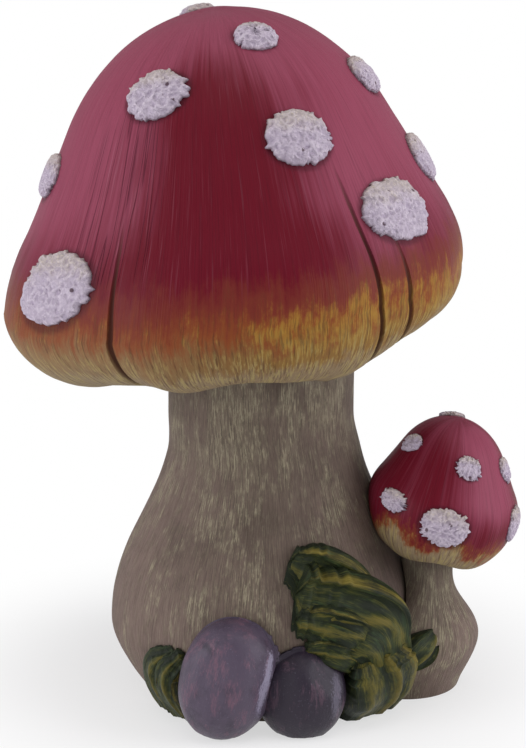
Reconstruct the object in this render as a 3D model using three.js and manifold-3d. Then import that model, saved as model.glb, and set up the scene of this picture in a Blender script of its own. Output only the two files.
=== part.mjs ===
// Resin toadstool figurine: a large toadstool with a small one at its foot, two pebbles and some leaves.
// Millimetres, +Z up. The front faces -Y. The origin is the middle of the large stalk's flat underside.
import * as THREE from "three";
import { mergeVertices } from "three/addons/utils/BufferGeometryUtils.js";
import Module from "manifold-3d";

const wasm = await Module();
wasm.setup();

// Driving dimensions, in millimetres and degrees

const BOND_GAP = 0.3; // room for adhesive between neighbouring castings
const CAST_WALL = 6; // wall of the hollow castings

const STALK_HEIGHT = 127.5; // to the bond face under the cap
const STALK_NECK_RADIUS = 33;
const STALK_WAIST_HEIGHT = 100; // the neck is straight above this
const STALK_BELLY_RADIUS = 55.5;
const STALK_BELLY_HEIGHT = 24;
const STALK_FOOT_RADIUS = 44;
const STALK_SWAY = -1.3; // the neck stands this far to the right of the foot
const STALK_SWAY_FROM = 85; // height at which the neck starts to lean that way
const STALK_FLUTES = 5;
const STALK_FLUTE_DEPTH = 0.5;
const SPIGOT_RADIUS = 20;
const SPIGOT_LENGTH = 16;
const BASE_PLATE_THICKNESS = 4;
const BASE_LEDGE = 3; // step in the hollow stalk that the base plate is bonded against

const CAP_RADIUS = 80.6;
const CAP_DOME = 96; // apex above the widest ring
const CAP_CURL = 22.5; // lowest ring of the rim below the widest ring
const CAP_LIP_RADIUS = 53; // where the rim turns in towards the gills
const CAP_RECESS = 5.5; // bond face above the lowest ring
const CAP_OFFSET = 8.5; // the cap's middle stands this far to the left of the stalk's neck
const CAP_TILT = 6.5; // the rim hangs lower on the left
const CAP_LEAN = 5; // the apex comes back to the right of the rim's middle
const CAP_BOW = 2.6; // the skirt swells this much to the right
const CAP_LIFT = 3.5; // the lip turns in this much higher on the right
const CAP_LOBES = 9;
const CAP_LOBE_DEPTH = 1.1;
const GILLS = 32;
const GILL_DEPTH = 2.5;
const SPLIT_WIDTH = 2.6;
const SPLIT_DEPTH = 3.2;

const SMALL_ROUND = 81.4; // place along the large belly, from the front towards the right
const SMALL_SINK = 30; // overlap of the two bellies, which the large one's outline cuts away
const SMALL_HEIGHT = 56;
const SMALL_NECK_RADIUS = 9.3;
const SMALL_WAIST_HEIGHT = 47;
const SMALL_BELLY_RADIUS = 24.3;
const SMALL_BELLY_HEIGHT = 17;
const SMALL_FOOT_RADIUS = 20;
const SMALL_SWAY = 7; // the neck stands this far to the right of the foot
const SMALL_STOOP = 12; // and this far in front of it
const SMALL_FLUTE_DEPTH = 0.3;
const SMALL_SPIGOT_RADIUS = 5.5;
const SMALL_SPIGOT_LENGTH = 12;

const SMALL_CAP_RADIUS = 26.7;
const SMALL_CAP_DOME = 31;
const SMALL_CAP_CURL = 18.2;
const SMALL_CAP_LIP_RADIUS = 16;
const SMALL_CAP_RECESS = 3;
const SMALL_CAP_OFFSET = -2.3;
const SMALL_CAP_TILT = -11;
const SMALL_CAP_LEAN = -1;
const SMALL_CAP_BOW = 0;
const SMALL_CAP_LIFT = 0;
const SMALL_CAP_LOBES = 5;
const SMALL_CAP_LOBE_DEPTH = 0.5;
const SMALL_GILLS = 18;
const SMALL_GILL_DEPTH = 1.2;

const CAP_SHOULDER = 0.66; // radius at which both caps turn steep, as a share of the widest ring's
const WART_THICKNESS = 3.2;
const SMALL_WART_THICKNESS = 1.6;

const LEAF_DEPTH = 14; // how far a leaf's back reaches towards the stalk before it is cut to fit
const LEAF_RIBS = 1.5; // ribs over half the width
const LEAF_RIB_DEPTH = 0.1; // share of the crown
const LEAF_RIDGE = 0.28; // how much the crown gains towards the raised edge, as a share of it

// How many sides the round forms have
const STALK_SIDES = 44;
const SMALL_STALK_SIDES = 32;
const HOLLOW_SIDES = 28;
const PLATE_SIDES = 36;
const PEG_SIDES = 36;
const SMALL_PEG_SIDES = 20;
const PEBBLE_SIDES = 20;
const LEAF_SIDES = 16;
const WART_SIDES = 12;
const SMALL_WART_SIDES = 10;

// Splits in the cap's rim: the bearing at the rim, how far they lean over as they rise, and the
// share of the outline, from apex (0) to lip (1), where they begin.
const SPLITS = [
  { bearing: -27.2, lean: -2.7, start: 0.55 },
  { bearing: 42, lean: -9, start: 0.49 },
  { bearing: 51.5, lean: -7, start: 0.64 },
  { bearing: 112, lean: 3, start: 0.55 },
  { bearing: 168, lean: -4, start: 0.48 },
  { bearing: -118, lean: 4, start: 0.52 },
];

// Waves in the large cap's lip: the bearing, how far they spread round it in degrees, and the drop.
const WAVES = [
  { bearing: -28, spread: 9, drop: -1.6 },
  { bearing: 38, spread: 12, drop: 6 },
  { bearing: 62, spread: 9, drop: -3 },
  { bearing: 93, spread: 17, drop: 5 },
];

// Warts: bearing, share of the outline from the apex, size across and along the slope, and turn.
const WARTS = [
  { bearing: -26, place: 0.305, across: 22.5, along: 18, turn: 12 },
  { bearing: 25.5, place: 0.187, across: 15, along: 13.5, turn: -10 },
  { bearing: -157, place: 0.09, across: 12, along: 11, turn: 0 },
  { bearing: 25.3, place: 0.425, across: 22.5, along: 19.5, turn: -8 },
  { bearing: 77, place: 0.335, across: 17, along: 15, turn: 0 },
  { bearing: 83, place: 0.53, across: 20, along: 18, turn: 0 },
  { bearing: 49.5, place: 0.6, across: 30, along: 22, turn: -6 },
  { bearing: -48.5, place: 0.68, across: 36, along: 25.5, turn: 8 },
  { bearing: -79, place: 0.48, across: 20, along: 16, turn: 0 },
  { bearing: 127, place: 0.66, across: 25, along: 21, turn: 12 },
  { bearing: 140, place: 0.36, across: 20, along: 18, turn: -8 },
  { bearing: -170, place: 0.55, across: 26, along: 22, turn: 5 },
  { bearing: -108, place: 0.72, across: 22, along: 20, turn: -15 },
  { bearing: -130, place: 0.36, across: 21, along: 19, turn: 10 },
  { bearing: 180, place: 0.2, across: 15, along: 14, turn: 0 },
];
const SMALL_WARTS = [
  { bearing: -165, place: 0.1, across: 9, along: 7, turn: 0 },
  { bearing: -66, place: 0.31, across: 9.5, along: 7, turn: 20 },
  { bearing: 12, place: 0.35, across: 9.5, along: 8.5, turn: -8 },
  { bearing: -48, place: 0.62, across: 12, along: 8, turn: 0 },
  { bearing: -3.5, place: 0.675, across: 18, along: 14.5, turn: -5 },
  { bearing: 70, place: 0.37, across: 9, along: 9, turn: 0 },
  { bearing: 66, place: 0.66, across: 10, along: 14, turn: 0 },
  { bearing: 128, place: 0.52, across: 12, along: 10, turn: 0 },
  { bearing: 175, place: 0.35, across: 9, along: 8, turn: 0 },
];

// Pebbles and leaves are placed along the large belly, in millimetres from the front towards the right.

// Pebbles: place along the belly, height of the middle, its distance out from the belly's widest ring,
// half sizes across, front to back and upwards, how far the top leans to the right, and a seed.
const PEBBLES = {
  large: { along: -12.6, height: 20.3, out: 1, radii: [17.2, 14.5, 22], lean: 14, seed: 1 },
  small: { along: 12.6, height: 14, out: -2.5, radii: [15.5, 13, 17], lean: 4, seed: 4 },
};

// Leaves, the front ones first. A spine's points are a place along the belly, a height and a distance
// out from the stalk, from the tip to the stem. A blunt leaf keeps its width further towards both ends.
const LEAVES = {
  front: {
    width: 28,
    crown: 7,
    blunt: 0.8,
    spine: [[37.5, 28.5, 2], [39.5, 20, 6], [43, 8, 7], [43.5, -4, 3]],
  },
  low: {
    width: 10,
    crown: 4,
    blunt: 0.6,
    spine: [[12.6, 30, 0], [19.4, 30, 3], [27.1, 26, 4], [33, 19, 1]],
  },
  middle: {
    width: 17,
    crown: 6,
    blunt: 0.7,
    spine: [[9.7, 40, 0], [19.4, 38.5, 3], [28, 34, 5], [33.5, 26.5, 1]],
  },
  large: {
    width: 29,
    crown: 8,
    blunt: 0.8,
    spine: [[10.2, 48, 0], [23.2, 44, 2], [37, 35, 5], [43.5, 19, 3]],
  },
  top: {
    width: 24,
    crown: 4,
    blunt: 0.55,
    spine: [[8.7, 58, -1], [18, 54, 1], [30, 46, 3], [39, 34, 1]],
  },
  right: {
    width: 11,
    crown: 5,
    blunt: 0,
    spine: [[65, 29.5, 10], [57.5, 25, 9], [49.6, 19, 7], [42.6, 10, 2]],
  },
  left_inner: {
    width: 12,
    crown: 5,
    blunt: 0.6,
    spine: [[-28.1, 27, 0], [-32.9, 20, 3], [-34.9, 9, 4], [-32, -6, 2]],
  },
  left_outer: {
    width: 12,
    crown: 4,
    blunt: 0.6,
    spine: [[-32, 26, -1], [-39.7, 21, 1], [-43.6, 12, 2], [-43.6, -6, 1]],
  },
};

const FINISHES = {
  cap: { color: 0x6e1c2d, roughness: 0.45 },
  stalk: { color: 0x73625a, roughness: 0.75 },
  wart: { color: 0xcdc3d2, roughness: 0.7 },
  pebble: { color: 0x554b5f, roughness: 0.4 },
  leaf: { color: 0x2f3f25, roughness: 0.6 },
  base: { color: 0x4a4440, roughness: 0.9 },
};

const { degToRad, smoothstep, lerp } = THREE.MathUtils;

// Points and numbers

// Bearing 0 faces the front, -Y, and a positive bearing turns to the right, +X. The tables above give
// it in degrees and every function takes it in radians.
const atBearing = (bearing, radius, z) =>
  new THREE.Vector3(radius * Math.sin(bearing), -radius * Math.cos(bearing), z);

// The bearing of a place along the large belly.
const bearingOf = (along) => along / STALK_BELLY_RADIUS;

// A bearing brought to between -180 and 180 degrees.
const wrapped = (bearing) => Math.atan2(Math.sin(bearing), Math.cos(bearing));

const evenly = (count, from, to) =>
  Array.from({ length: count }, (_, i) => lerp(from, to, i / (count - 1)));

const around = (count) => Array.from({ length: count }, (_, i) => (2 * Math.PI * i) / count);

// A repeatable uneven number from -1 to 1 for each pair of counts.
function uneven(i, j) {
  const wave = Math.sin(i * 12.9898 + j * 78.233) * 43758.5453;
  return 2 * (wave - Math.floor(wave)) - 1;
}

// Meshes and solids

// A closed skin through rings of points, listed from the top down on an outer wall and anticlockwise
// as seen from above. A ring of one point is a pole.
function skin(rings) {
  const index = [];
  let start = 0;
  for (let k = 0; k + 1 < rings.length; k++) {
    const [above, below] = [rings[k].length, rings[k + 1].length];
    const next = start + above;
    const count = Math.max(above, below);
    for (let i = 0; i < count; i++) {
      const j = (i + 1) % count;
      if (below > 1) index.push(start + (i % above), next + i, next + j);
      if (above > 1) index.push(start + i, next + (j % below), start + j);
    }
    start = next;
  }
  const geometry = new THREE.BufferGeometry().setFromPoints(rings.flat());
  geometry.setIndex(index);
  return geometry;
}

function bare(geometry) {
  const copy = geometry.clone();
  copy.deleteAttribute("normal");
  copy.deleteAttribute("uv");
  return mergeVertices(copy, 1e-4);
}

function solidOf(geometry) {
  const merged = bare(geometry);
  const mesh = new wasm.Mesh({
    numProp: 3,
    vertProperties: new Float32Array(merged.attributes.position.array),
    triVerts: new Uint32Array(merged.index.array),
  });
  return new wasm.Manifold(mesh);
}

function geometryOf(solid) {
  const mesh = solid.getMesh();
  const geometry = new THREE.BufferGeometry();
  geometry.setAttribute("position", new THREE.BufferAttribute(mesh.vertProperties, 3));
  geometry.setIndex(new THREE.BufferAttribute(mesh.triVerts, 1));
  return geometry;
}

// The same form with its skin moved outwards, so that what it cuts keeps that gap to it.
function grown(geometry, gap = BOND_GAP) {
  const merged = bare(geometry);
  merged.computeVertexNormals();
  const { position, normal } = merged.attributes;
  for (let i = 0; i < position.count; i++) {
    position.setXYZ(
      i,
      position.getX(i) + gap * normal.getX(i),
      position.getY(i) + gap * normal.getY(i),
      position.getZ(i) + gap * normal.getZ(i),
    );
  }
  return merged;
}

// The largest body that is left of a form once the cutters are taken away from it.
function cut(geometry, ...cutters) {
  const left = cutters.reduce((solid, cutter) => solid.subtract(solidOf(cutter)), solidOf(geometry));
  const bodies = left.decompose();
  return geometryOf(bodies.reduce((a, b) => (b.volume() > a.volume() ? b : a)));
}

const joined = (...geometries) => geometryOf(geometries.map(solidOf).reduce((a, b) => a.add(b)));

const moved = (geometry, matrix) => geometry.clone().applyMatrix4(matrix);

// A round peg or bore along Z between two heights.
const peg = (radius, from, to, sides = PEG_SIDES) =>
  new THREE.CylinderGeometry(radius, radius, to - from, sides)
    .rotateX(Math.PI / 2)
    .translate(0, 0, (from + to) / 2);

// A block that fills everything above, or below, the level z = 0.
const FAR = 1000;
const above = () => new THREE.BoxGeometry(FAR, FAR, FAR).translate(0, 0, FAR / 2);
const below = () => new THREE.BoxGeometry(FAR, FAR, FAR).translate(0, 0, -FAR / 2);

// Stalks

// A stalk's outer form. Its outline runs down the straight neck, out over the belly and in to the foot.
function stalkForm(s) {
  const outline = new THREE.Path();
  const drop = s.waist - s.bellyHeight;
  outline.moveTo(s.neck, s.height + s.neck);
  outline.lineTo(s.neck, s.waist);
  outline.bezierCurveTo(
    s.neck, s.waist - 0.42 * drop,
    s.belly, s.bellyHeight + 0.4 * drop,
    s.belly, s.bellyHeight,
  );
  outline.bezierCurveTo(
    s.belly, 0.66 * s.bellyHeight,
    lerp(s.foot, s.belly, 0.35), 0.2 * s.bellyHeight,
    s.foot, 0,
  );
  const points = outline.getPoints(20);
  const radiusAt = (z) => {
    const k = points.findIndex((p) => p.y <= z);
    if (k < 0) return s.foot;
    if (k === 0) return s.neck;
    const [upper, lower] = [points[k - 1], points[k]];
    return lerp(lower.x, upper.x, (z - lower.y) / (upper.y - lower.y));
  };
  const middleAt = (z) => s.sway.clone().multiplyScalar(smoothstep(z, s.swayFrom, s.waist));
  const at = (bearing, z, out = 0) => {
    const flute = s.fluteDepth * Math.cos(STALK_FLUTES * bearing + 1) * smoothstep(z, 0, s.bellyHeight);
    return atBearing(bearing, radiusAt(z) + flute + out, z).add(middleAt(z));
  };
  return { at, middleAt, top: middleAt(s.height).setZ(s.height) };
}

// A solid blank of a stalk between two heights, drawn in by an inset all round.
function stalkBlank(form, heights, sides, inset = 0) {
  const rings = heights.map((z) => around(sides).map((bearing) => form.at(bearing, z, -inset)));
  const [top, bottom] = [heights[0], heights.at(-1)];
  return skin([
    [form.middleAt(top).setZ(top)],
    ...rings,
    [form.middleAt(bottom).setZ(bottom)],
  ]);
}

// The plane on which a cap is bonded to its stalk: Z runs up the cap's own axis.
const seatOf = (form, tilt) =>
  new THREE.Matrix4().makeRotationY(-degToRad(tilt)).setPosition(form.top);

const largeForm = stalkForm({
  height: STALK_HEIGHT,
  neck: STALK_NECK_RADIUS,
  waist: STALK_WAIST_HEIGHT,
  belly: STALK_BELLY_RADIUS,
  bellyHeight: STALK_BELLY_HEIGHT,
  foot: STALK_FOOT_RADIUS,
  fluteDepth: STALK_FLUTE_DEPTH,
  swayFrom: STALK_SWAY_FROM,
  sway: new THREE.Vector3(STALK_SWAY, 0, 0),
});
const smallForm = stalkForm({
  height: SMALL_HEIGHT,
  neck: SMALL_NECK_RADIUS,
  waist: SMALL_WAIST_HEIGHT,
  belly: SMALL_BELLY_RADIUS,
  bellyHeight: SMALL_BELLY_HEIGHT,
  foot: SMALL_FOOT_RADIUS,
  fluteDepth: SMALL_FLUTE_DEPTH,
  swayFrom: 0,
  sway: new THREE.Vector3(SMALL_SWAY, -SMALL_STOOP, 0),
});

const largeHeights = [
  STALK_HEIGHT + CAST_WALL,
  ...evenly(3, STALK_HEIGHT - CAST_WALL, STALK_WAIST_HEIGHT),
  ...evenly(7, STALK_WAIST_HEIGHT, STALK_BELLY_HEIGHT).slice(1),
  ...evenly(5, STALK_BELLY_HEIGHT, 0).slice(1),
];
const largeBlank = stalkBlank(largeForm, largeHeights, STALK_SIDES);
const largeSeat = seatOf(largeForm, CAP_TILT);

function largeStalk() {
  const spigot = moved(peg(SPIGOT_RADIUS, -SPIGOT_LENGTH, SPIGOT_LENGTH), largeSeat);
  const hollowTop = STALK_HEIGHT - SPIGOT_LENGTH - CAST_WALL;
  const hollowHeights = [...evenly(6, hollowTop, 0), -CAST_WALL];
  const hollow = stalkBlank(largeForm, hollowHeights, HOLLOW_SIDES, CAST_WALL);
  const ledgeHeight = BASE_PLATE_THICKNESS + BOND_GAP;
  const rebate = peg(baseRadius() + BOND_GAP, -CAST_WALL, ledgeHeight, PLATE_SIDES);
  const trunk = cut(largeBlank, moved(above(), largeSeat));
  return cut(joined(trunk, spigot), hollow, rebate);
}

// The plate that closes the hollow stalk reaches over its wall as far as the ledge does.
const baseRadius = () => STALK_FOOT_RADIUS - CAST_WALL + BASE_LEDGE;

function basePlate() {
  const chamfer = BASE_PLATE_THICKNESS / 4;
  const radius = baseRadius();
  const profile = [
    [0, 0],
    [radius - chamfer, 0],
    [radius, chamfer],
    [radius, BASE_PLATE_THICKNESS],
    [0, BASE_PLATE_THICKNESS],
  ];
  const points = profile.map(([r, z]) => new THREE.Vector2(r, z));
  return new THREE.LatheGeometry(points, PLATE_SIDES).rotateX(Math.PI / 2);
}

const smallDistance = STALK_BELLY_RADIUS + SMALL_BELLY_RADIUS - SMALL_SINK;
const smallPlace = new THREE.Matrix4().setPosition(
  atBearing(bearingOf(SMALL_ROUND), smallDistance, 0),
);
const smallHeights = [
  SMALL_HEIGHT + SMALL_NECK_RADIUS,
  ...evenly(3, SMALL_HEIGHT - SMALL_CAP_RECESS, SMALL_WAIST_HEIGHT),
  ...evenly(6, SMALL_WAIST_HEIGHT, SMALL_BELLY_HEIGHT).slice(1),
  ...evenly(4, SMALL_BELLY_HEIGHT, 0).slice(1),
];
const smallBlank = stalkBlank(smallForm, smallHeights, SMALL_STALK_SIDES);
const smallSeat = seatOf(smallForm, SMALL_CAP_TILT);

function smallStalk() {
  const rod = peg(SMALL_SPIGOT_RADIUS, -SMALL_SPIGOT_LENGTH, SMALL_SPIGOT_LENGTH, SMALL_PEG_SIDES);
  const trunk = joined(cut(smallBlank, moved(above(), smallSeat)), moved(rod, smallSeat));
  return cut(moved(trunk, smallPlace), grown(largeBlank));
}

// Caps

// A cap's outer form about the middle of its widest ring. Its outline runs from the apex, over the
// shoulder and the widest ring, to the lip; a place on it is a share of its length.
function capForm(c) {
  const outline = new THREE.Path();
  const { radius, dome, curl, lip } = c;
  outline.moveTo(0, dome);
  outline.bezierCurveTo(
    0.31 * radius, dome,
    0.54 * radius, 0.83 * dome,
    CAP_SHOULDER * radius, 0.65 * dome,
  );
  const skirt = lerp(CAP_SHOULDER, 1, 0.68);
  const slope = (skirt - CAP_SHOULDER) / 3;
  outline.bezierCurveTo(
    (CAP_SHOULDER + slope) * radius, 0.53 * dome,
    (skirt - slope) * radius, 0.4 * dome,
    skirt * radius, 0.28 * dome,
  );
  outline.bezierCurveTo((skirt + slope) * radius, 0.17 * dome, radius, 0.09 * dome, radius, 0);
  outline.bezierCurveTo(radius, -0.55 * curl, lerp(lip, radius, 0.5), -curl, lip, -curl);
  const leanAt = (z) => {
    const share = Math.max(z, 0) / dome;
    return c.lean * share ** 1.5 + c.bow * Math.sin(Math.PI * Math.min(share, 1) ** 0.7);
  };
  const dropAt = (bearing) =>
    c.waves.reduce((sum, wave) => {
      const away = wrapped(bearing - degToRad(wave.bearing)) / degToRad(wave.spread);
      return sum + wave.drop * Math.exp(-(away ** 2));
    }, 0);
  const at = (bearing, place) => {
    const { x, y } = outline.getPoint(place);
    const lobe = -c.lobeDepth * Math.cos(c.lobes * bearing);
    const swell = lobe * smoothstep(place, 0.45, 0.9) * 0.6;
    const lift = c.lift * Math.max(Math.sin(bearing), 0) ** 2 * smoothstep(place, 0.72, 1);
    const droop = (lobe + dropAt(bearing)) * smoothstep(place, 0.75, 1) - lift;
    return atBearing(bearing, x + swell, y - droop).add(new THREE.Vector3(leanAt(y), 0, 0));
  };
  const places = evenly(101, 0, 1);
  const slopes = places.map((place) => {
    const { x, y } = outline.getPoint(place);
    return Math.atan2(x, y);
  });
  // The point of the skin that lies out from the middle, in the direction of a point near it.
  const onto = (point) => {
    const x = point.x - leanAt(point.z);
    const slope = Math.atan2(Math.hypot(x, point.y), point.z);
    const k = Math.max(1, slopes.findIndex((s) => s >= slope));
    const place = lerp(places[k - 1], places[k], (slope - slopes[k - 1]) / (slopes[k] - slopes[k - 1]));
    return at(Math.atan2(x, -point.y), Math.max(place, 0));
  };
  // Directions at a point of the skin: to the right, up the slope and straight out.
  const frameAt = (bearing, place) => {
    const step = 0.01;
    const right = at(bearing + step, place).sub(at(bearing - step, place)).normalize();
    const down = at(bearing, Math.min(place + step, 1)).sub(at(bearing, place - step)).normalize();
    const out = down.cross(right).normalize();
    return { right, up: out.clone().cross(right), out };
  };
  return { ...c, at, onto, frameAt, dropAt };
}

// The cap's solid form: its skin and lip, gills as radial ridges, and a flat collar that is bonded to
// the stalk. The underside follows the lip's waves less and less towards the collar.
function capBlank(form, places, gills, gillDepth, collar) {
  const bearings = around(2 * gills);
  const bond = form.recess - form.curl;
  const ring = (radius, share, heights) =>
    bearings.map((bearing, i) => {
      const drop = form.dropAt(bearing) * (1 - share) ** 3;
      const point = atBearing(bearing, radius, heights[i % 2] - drop);
      return point.add(new THREE.Vector3(share * form.offset, 0, 0));
    });
  const turn = (form.lip - collar) / 4; // the underside's rounded step in from the lip
  return skin([
    [form.at(0, 0)],
    ...places.slice(1).map((place) => bearings.map((bearing) => form.at(bearing, place))),
    ring(form.lip - turn, 0, [0.12 * form.recess - form.curl, 0.12 * form.recess - form.curl]),
    ring(form.lip - 1.7 * turn, 0.25, [bond - 0.3 * gillDepth, bond + 0.5 * gillDepth]),
    ring(collar + 0.5 * turn, 0.9, [bond, bond + gillDepth]),
    ring(collar, 1, [bond, bond]),
    [new THREE.Vector3(form.offset, 0, bond)],
  ]);
}

// A wedge that runs down the skin and bites deeper towards the lip.
function splitCutter(form, { bearing, lean, start }) {
  const rings = evenly(9, start, 1).map((place) => {
    const share = (1 - place) / (1 - start);
    const azimuth = degToRad(bearing + lean * share);
    const { right, out } = form.frameAt(azimuth, place);
    const middle = form.at(azimuth, place);
    const growth = Math.sqrt(1 - share);
    const half = right.clone().multiplyScalar(0.5 * SPLIT_WIDTH * growth);
    const lifted = middle.clone().addScaledVector(out, 0.4 * SPLIT_DEPTH * growth);
    return [
      middle.clone().addScaledVector(out, -SPLIT_DEPTH * growth),
      lifted.clone().sub(half),
      lifted.clone().add(half),
    ];
  });
  const last = rings.at(-1);
  const end = last[0].clone().add(last[1]).add(last[2]).divideScalar(3);
  return skin([[rings[0][0]], ...rings.slice(1), [end]]);
}

const capMiddle = (seat, form) =>
  seat.clone().multiply(new THREE.Matrix4().makeTranslation(-form.offset, 0, form.curl - form.recess));

const capShape = capForm({
  radius: CAP_RADIUS,
  dome: CAP_DOME,
  curl: CAP_CURL,
  lip: CAP_LIP_RADIUS,
  recess: CAP_RECESS,
  offset: CAP_OFFSET,
  lean: CAP_LEAN,
  bow: CAP_BOW,
  lift: CAP_LIFT,
  lobes: CAP_LOBES,
  lobeDepth: CAP_LOBE_DEPTH,
  waves: WAVES,
});
const smallCapShape = capForm({
  radius: SMALL_CAP_RADIUS,
  dome: SMALL_CAP_DOME,
  curl: SMALL_CAP_CURL,
  lip: SMALL_CAP_LIP_RADIUS,
  recess: SMALL_CAP_RECESS,
  offset: SMALL_CAP_OFFSET,
  lean: SMALL_CAP_LEAN,
  bow: SMALL_CAP_BOW,
  lift: SMALL_CAP_LIFT,
  lobes: SMALL_CAP_LOBES,
  lobeDepth: SMALL_CAP_LOBE_DEPTH,
  waves: [],
});
const capPlace = capMiddle(largeSeat, capShape);
const smallCapPlace = smallPlace.clone().multiply(capMiddle(smallSeat, smallCapShape));

// The hollow inside the large cap, open at the socket. Its lowest edge also clears the splits.
function capHollow() {
  const shrink = 1 - CAST_WALL / CAP_RADIUS;
  const floor = CAP_RECESS - CAP_CURL + 1.4 * CAST_WALL;
  const rings = [0.02, 0.14, 0.28, 0.42, 0.56, 0.7].map((place) =>
    around(HOLLOW_SIDES).map((bearing) => capShape.at(bearing, place).multiplyScalar(shrink)),
  );
  const edge = rings
    .at(-1)
    .map((point) => point.clone().multiplyScalar(1 - SPLIT_DEPTH / CAP_RADIUS).setZ(floor));
  const apex = capShape.at(0, 0).multiplyScalar(shrink);
  return skin([[apex], ...rings, edge, [new THREE.Vector3(0, 0, floor)]]);
}

function mainCap() {
  const places = [0, 0.05, 0.12, 0.2, 0.3, 0.4, 0.5, 0.59, 0.67, 0.74, 0.8, 0.86, 0.93, 1];
  const blank = capBlank(capShape, places, GILLS, GILL_DEPTH, STALK_NECK_RADIUS + STALK_FLUTE_DEPTH);
  const bond = CAP_RECESS - CAP_CURL;
  const bore = peg(SPIGOT_RADIUS + BOND_GAP, bond - CAP_RECESS, bond + SPIGOT_LENGTH + CAST_WALL);
  const splits = SPLITS.map((split) => splitCutter(capShape, split));
  return cut(blank, capHollow(), bore.translate(CAP_OFFSET, 0, 0), ...splits);
}

const smallCapPlaces = [0, 0.08, 0.2, 0.32, 0.44, 0.55, 0.65, 0.74, 0.83, 0.91, 1];
const smallCapBlank = capBlank(
  smallCapShape,
  smallCapPlaces,
  SMALL_GILLS,
  SMALL_GILL_DEPTH,
  SMALL_NECK_RADIUS + SMALL_FLUTE_DEPTH,
);

function smallCap() {
  const bond = SMALL_CAP_RECESS - SMALL_CAP_CURL;
  const socketTop = bond + SMALL_SPIGOT_LENGTH + BOND_GAP;
  const socketRadius = SMALL_SPIGOT_RADIUS + BOND_GAP;
  const socket = peg(socketRadius, bond - SMALL_CAP_RECESS, socketTop, SMALL_PEG_SIDES);
  const inCapFrame = smallCapPlace.clone().invert();
  return cut(
    smallCapBlank,
    socket.translate(SMALL_CAP_OFFSET, 0, 0),
    moved(grown(largeBlank), inCapFrame),
  );
}

// Warts

// A flat cake of modelling paste on a cap: its underside follows the skin and its top is domed and pitted.
function wart(form, { bearing, place, across, along, turn }, thickness, sides, seed) {
  const azimuth = degToRad(bearing);
  const slant = degToRad(turn);
  const middle = form.at(azimuth, place);
  const { right, up, out } = form.frameAt(azimuth, place);
  const ring = (size, height, rough) =>
    around(sides).map((angle, i) => {
      const ragged = 1 + 0.07 * Math.cos(3 * angle + seed) + 0.07 * uneven(i, seed);
      const u = 0.5 * across * size * ragged * Math.cos(angle);
      const v = 0.5 * along * size * ragged * Math.sin(angle);
      const point = middle
        .clone()
        .addScaledVector(right, u * Math.cos(slant) - v * Math.sin(slant))
        .addScaledVector(up, u * Math.sin(slant) + v * Math.cos(slant));
      const bump = rough * uneven(i, seed + size);
      return form.onto(point).addScaledVector(out, BOND_GAP + thickness * (height + bump));
    });
  const crown = form.onto(middle).addScaledVector(out, BOND_GAP + thickness);
  const foot = form.onto(middle).addScaledVector(out, BOND_GAP);
  const wide = across > 0.3 * form.radius; // then the underside needs a ring more to follow the skin
  return skin([
    [crown],
    ring(0.35, 1, 0.1),
    ring(0.68, 0.93, 0.12),
    ring(0.93, 0.7, 0.08),
    ring(1, 0.3, 0),
    ring(0.93, 0, 0),
    ...(wide ? [ring(0.5, 0, 0)] : []),
    [foot],
  ]);
}

// Pebbles

// A rounded stone that leans to one side, slightly uneven all over.
function pebble({ along, height, out, radii, lean, seed }) {
  const place = atBearing(bearingOf(along), STALK_BELLY_RADIUS + out, height);
  const halves = new THREE.Vector3(...radii);
  const rows = evenly(11, 0, Math.PI).slice(1, -1);
  const rings = rows.map((polar) =>
    around(PEBBLE_SIDES).map((azimuth) => {
      const lump = 1 + 0.025 * Math.cos(2 * azimuth + seed) * Math.sin(polar);
      const point = atBearing(azimuth, Math.sin(polar) ** 0.9, Math.cos(polar));
      return point.multiplyScalar(lump).multiply(halves);
    }),
  );
  const pole = (side) => [new THREE.Vector3(0, 0, side * halves.z)];
  const tilt = new THREE.Matrix4().makeRotationY(degToRad(lean)).setPosition(place);
  return moved(skin([pole(1), ...rings, pole(-1)]), tilt);
}

// Leaves

// A thick leaf over a spine. Its front is crowned, ribbed along its length and raised towards one edge:
// the one on the left as one goes from the tip to the stem. Its back is left deep enough to be cut to
// whatever it grows against.
function leaf({ spine, width, crown, blunt }) {
  const curve = new THREE.CatmullRomCurve3(
    spine.map(([along, height, out]) => largeForm.at(bearingOf(along), height, out)),
  );
  const rings = evenly(8, 0.03, 0.97).map((t) => {
    const middle = curve.getPoint(t);
    const out = new THREE.Vector3(middle.x, middle.y, 0).normalize();
    const side = curve.getTangent(t).cross(out).normalize();
    const share = Math.sin(Math.PI * t) ** (1 - blunt * 0.8);
    return around(LEAF_SIDES).map((angle) => {
      const [x, y] = [Math.cos(angle), Math.sin(angle)];
      const rib = 1 + LEAF_RIB_DEPTH * Math.cos(2 * Math.PI * LEAF_RIBS * x);
      const height = y > 0 ? crown * y ** 0.7 * (1 - LEAF_RIDGE * x) * rib : LEAF_DEPTH * y;
      return middle
        .clone()
        .addScaledVector(side, 0.5 * width * share * x)
        .addScaledVector(out, share * height);
    });
  });
  return skin([[curve.getPoint(0)], ...rings, [curve.getPoint(1)]]);
}

// Assembly

function piece(name, geometry, finish) {
  const mesh = new THREE.Mesh(geometry, new THREE.MeshStandardMaterial({ ...finish, metalness: 0 }));
  mesh.name = name;
  return mesh;
}

const figurine = new THREE.Group();

const capGroup = new THREE.Group();
capGroup.applyMatrix4(capPlace);
capGroup.add(piece("main_cap", mainCap(), FINISHES.cap));
WARTS.forEach((row, i) => {
  const geometry = wart(capShape, row, WART_THICKNESS, WART_SIDES, i + 1);
  capGroup.add(piece(`cap_wart_${i + 1}`, geometry, FINISHES.wart));
});

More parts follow.
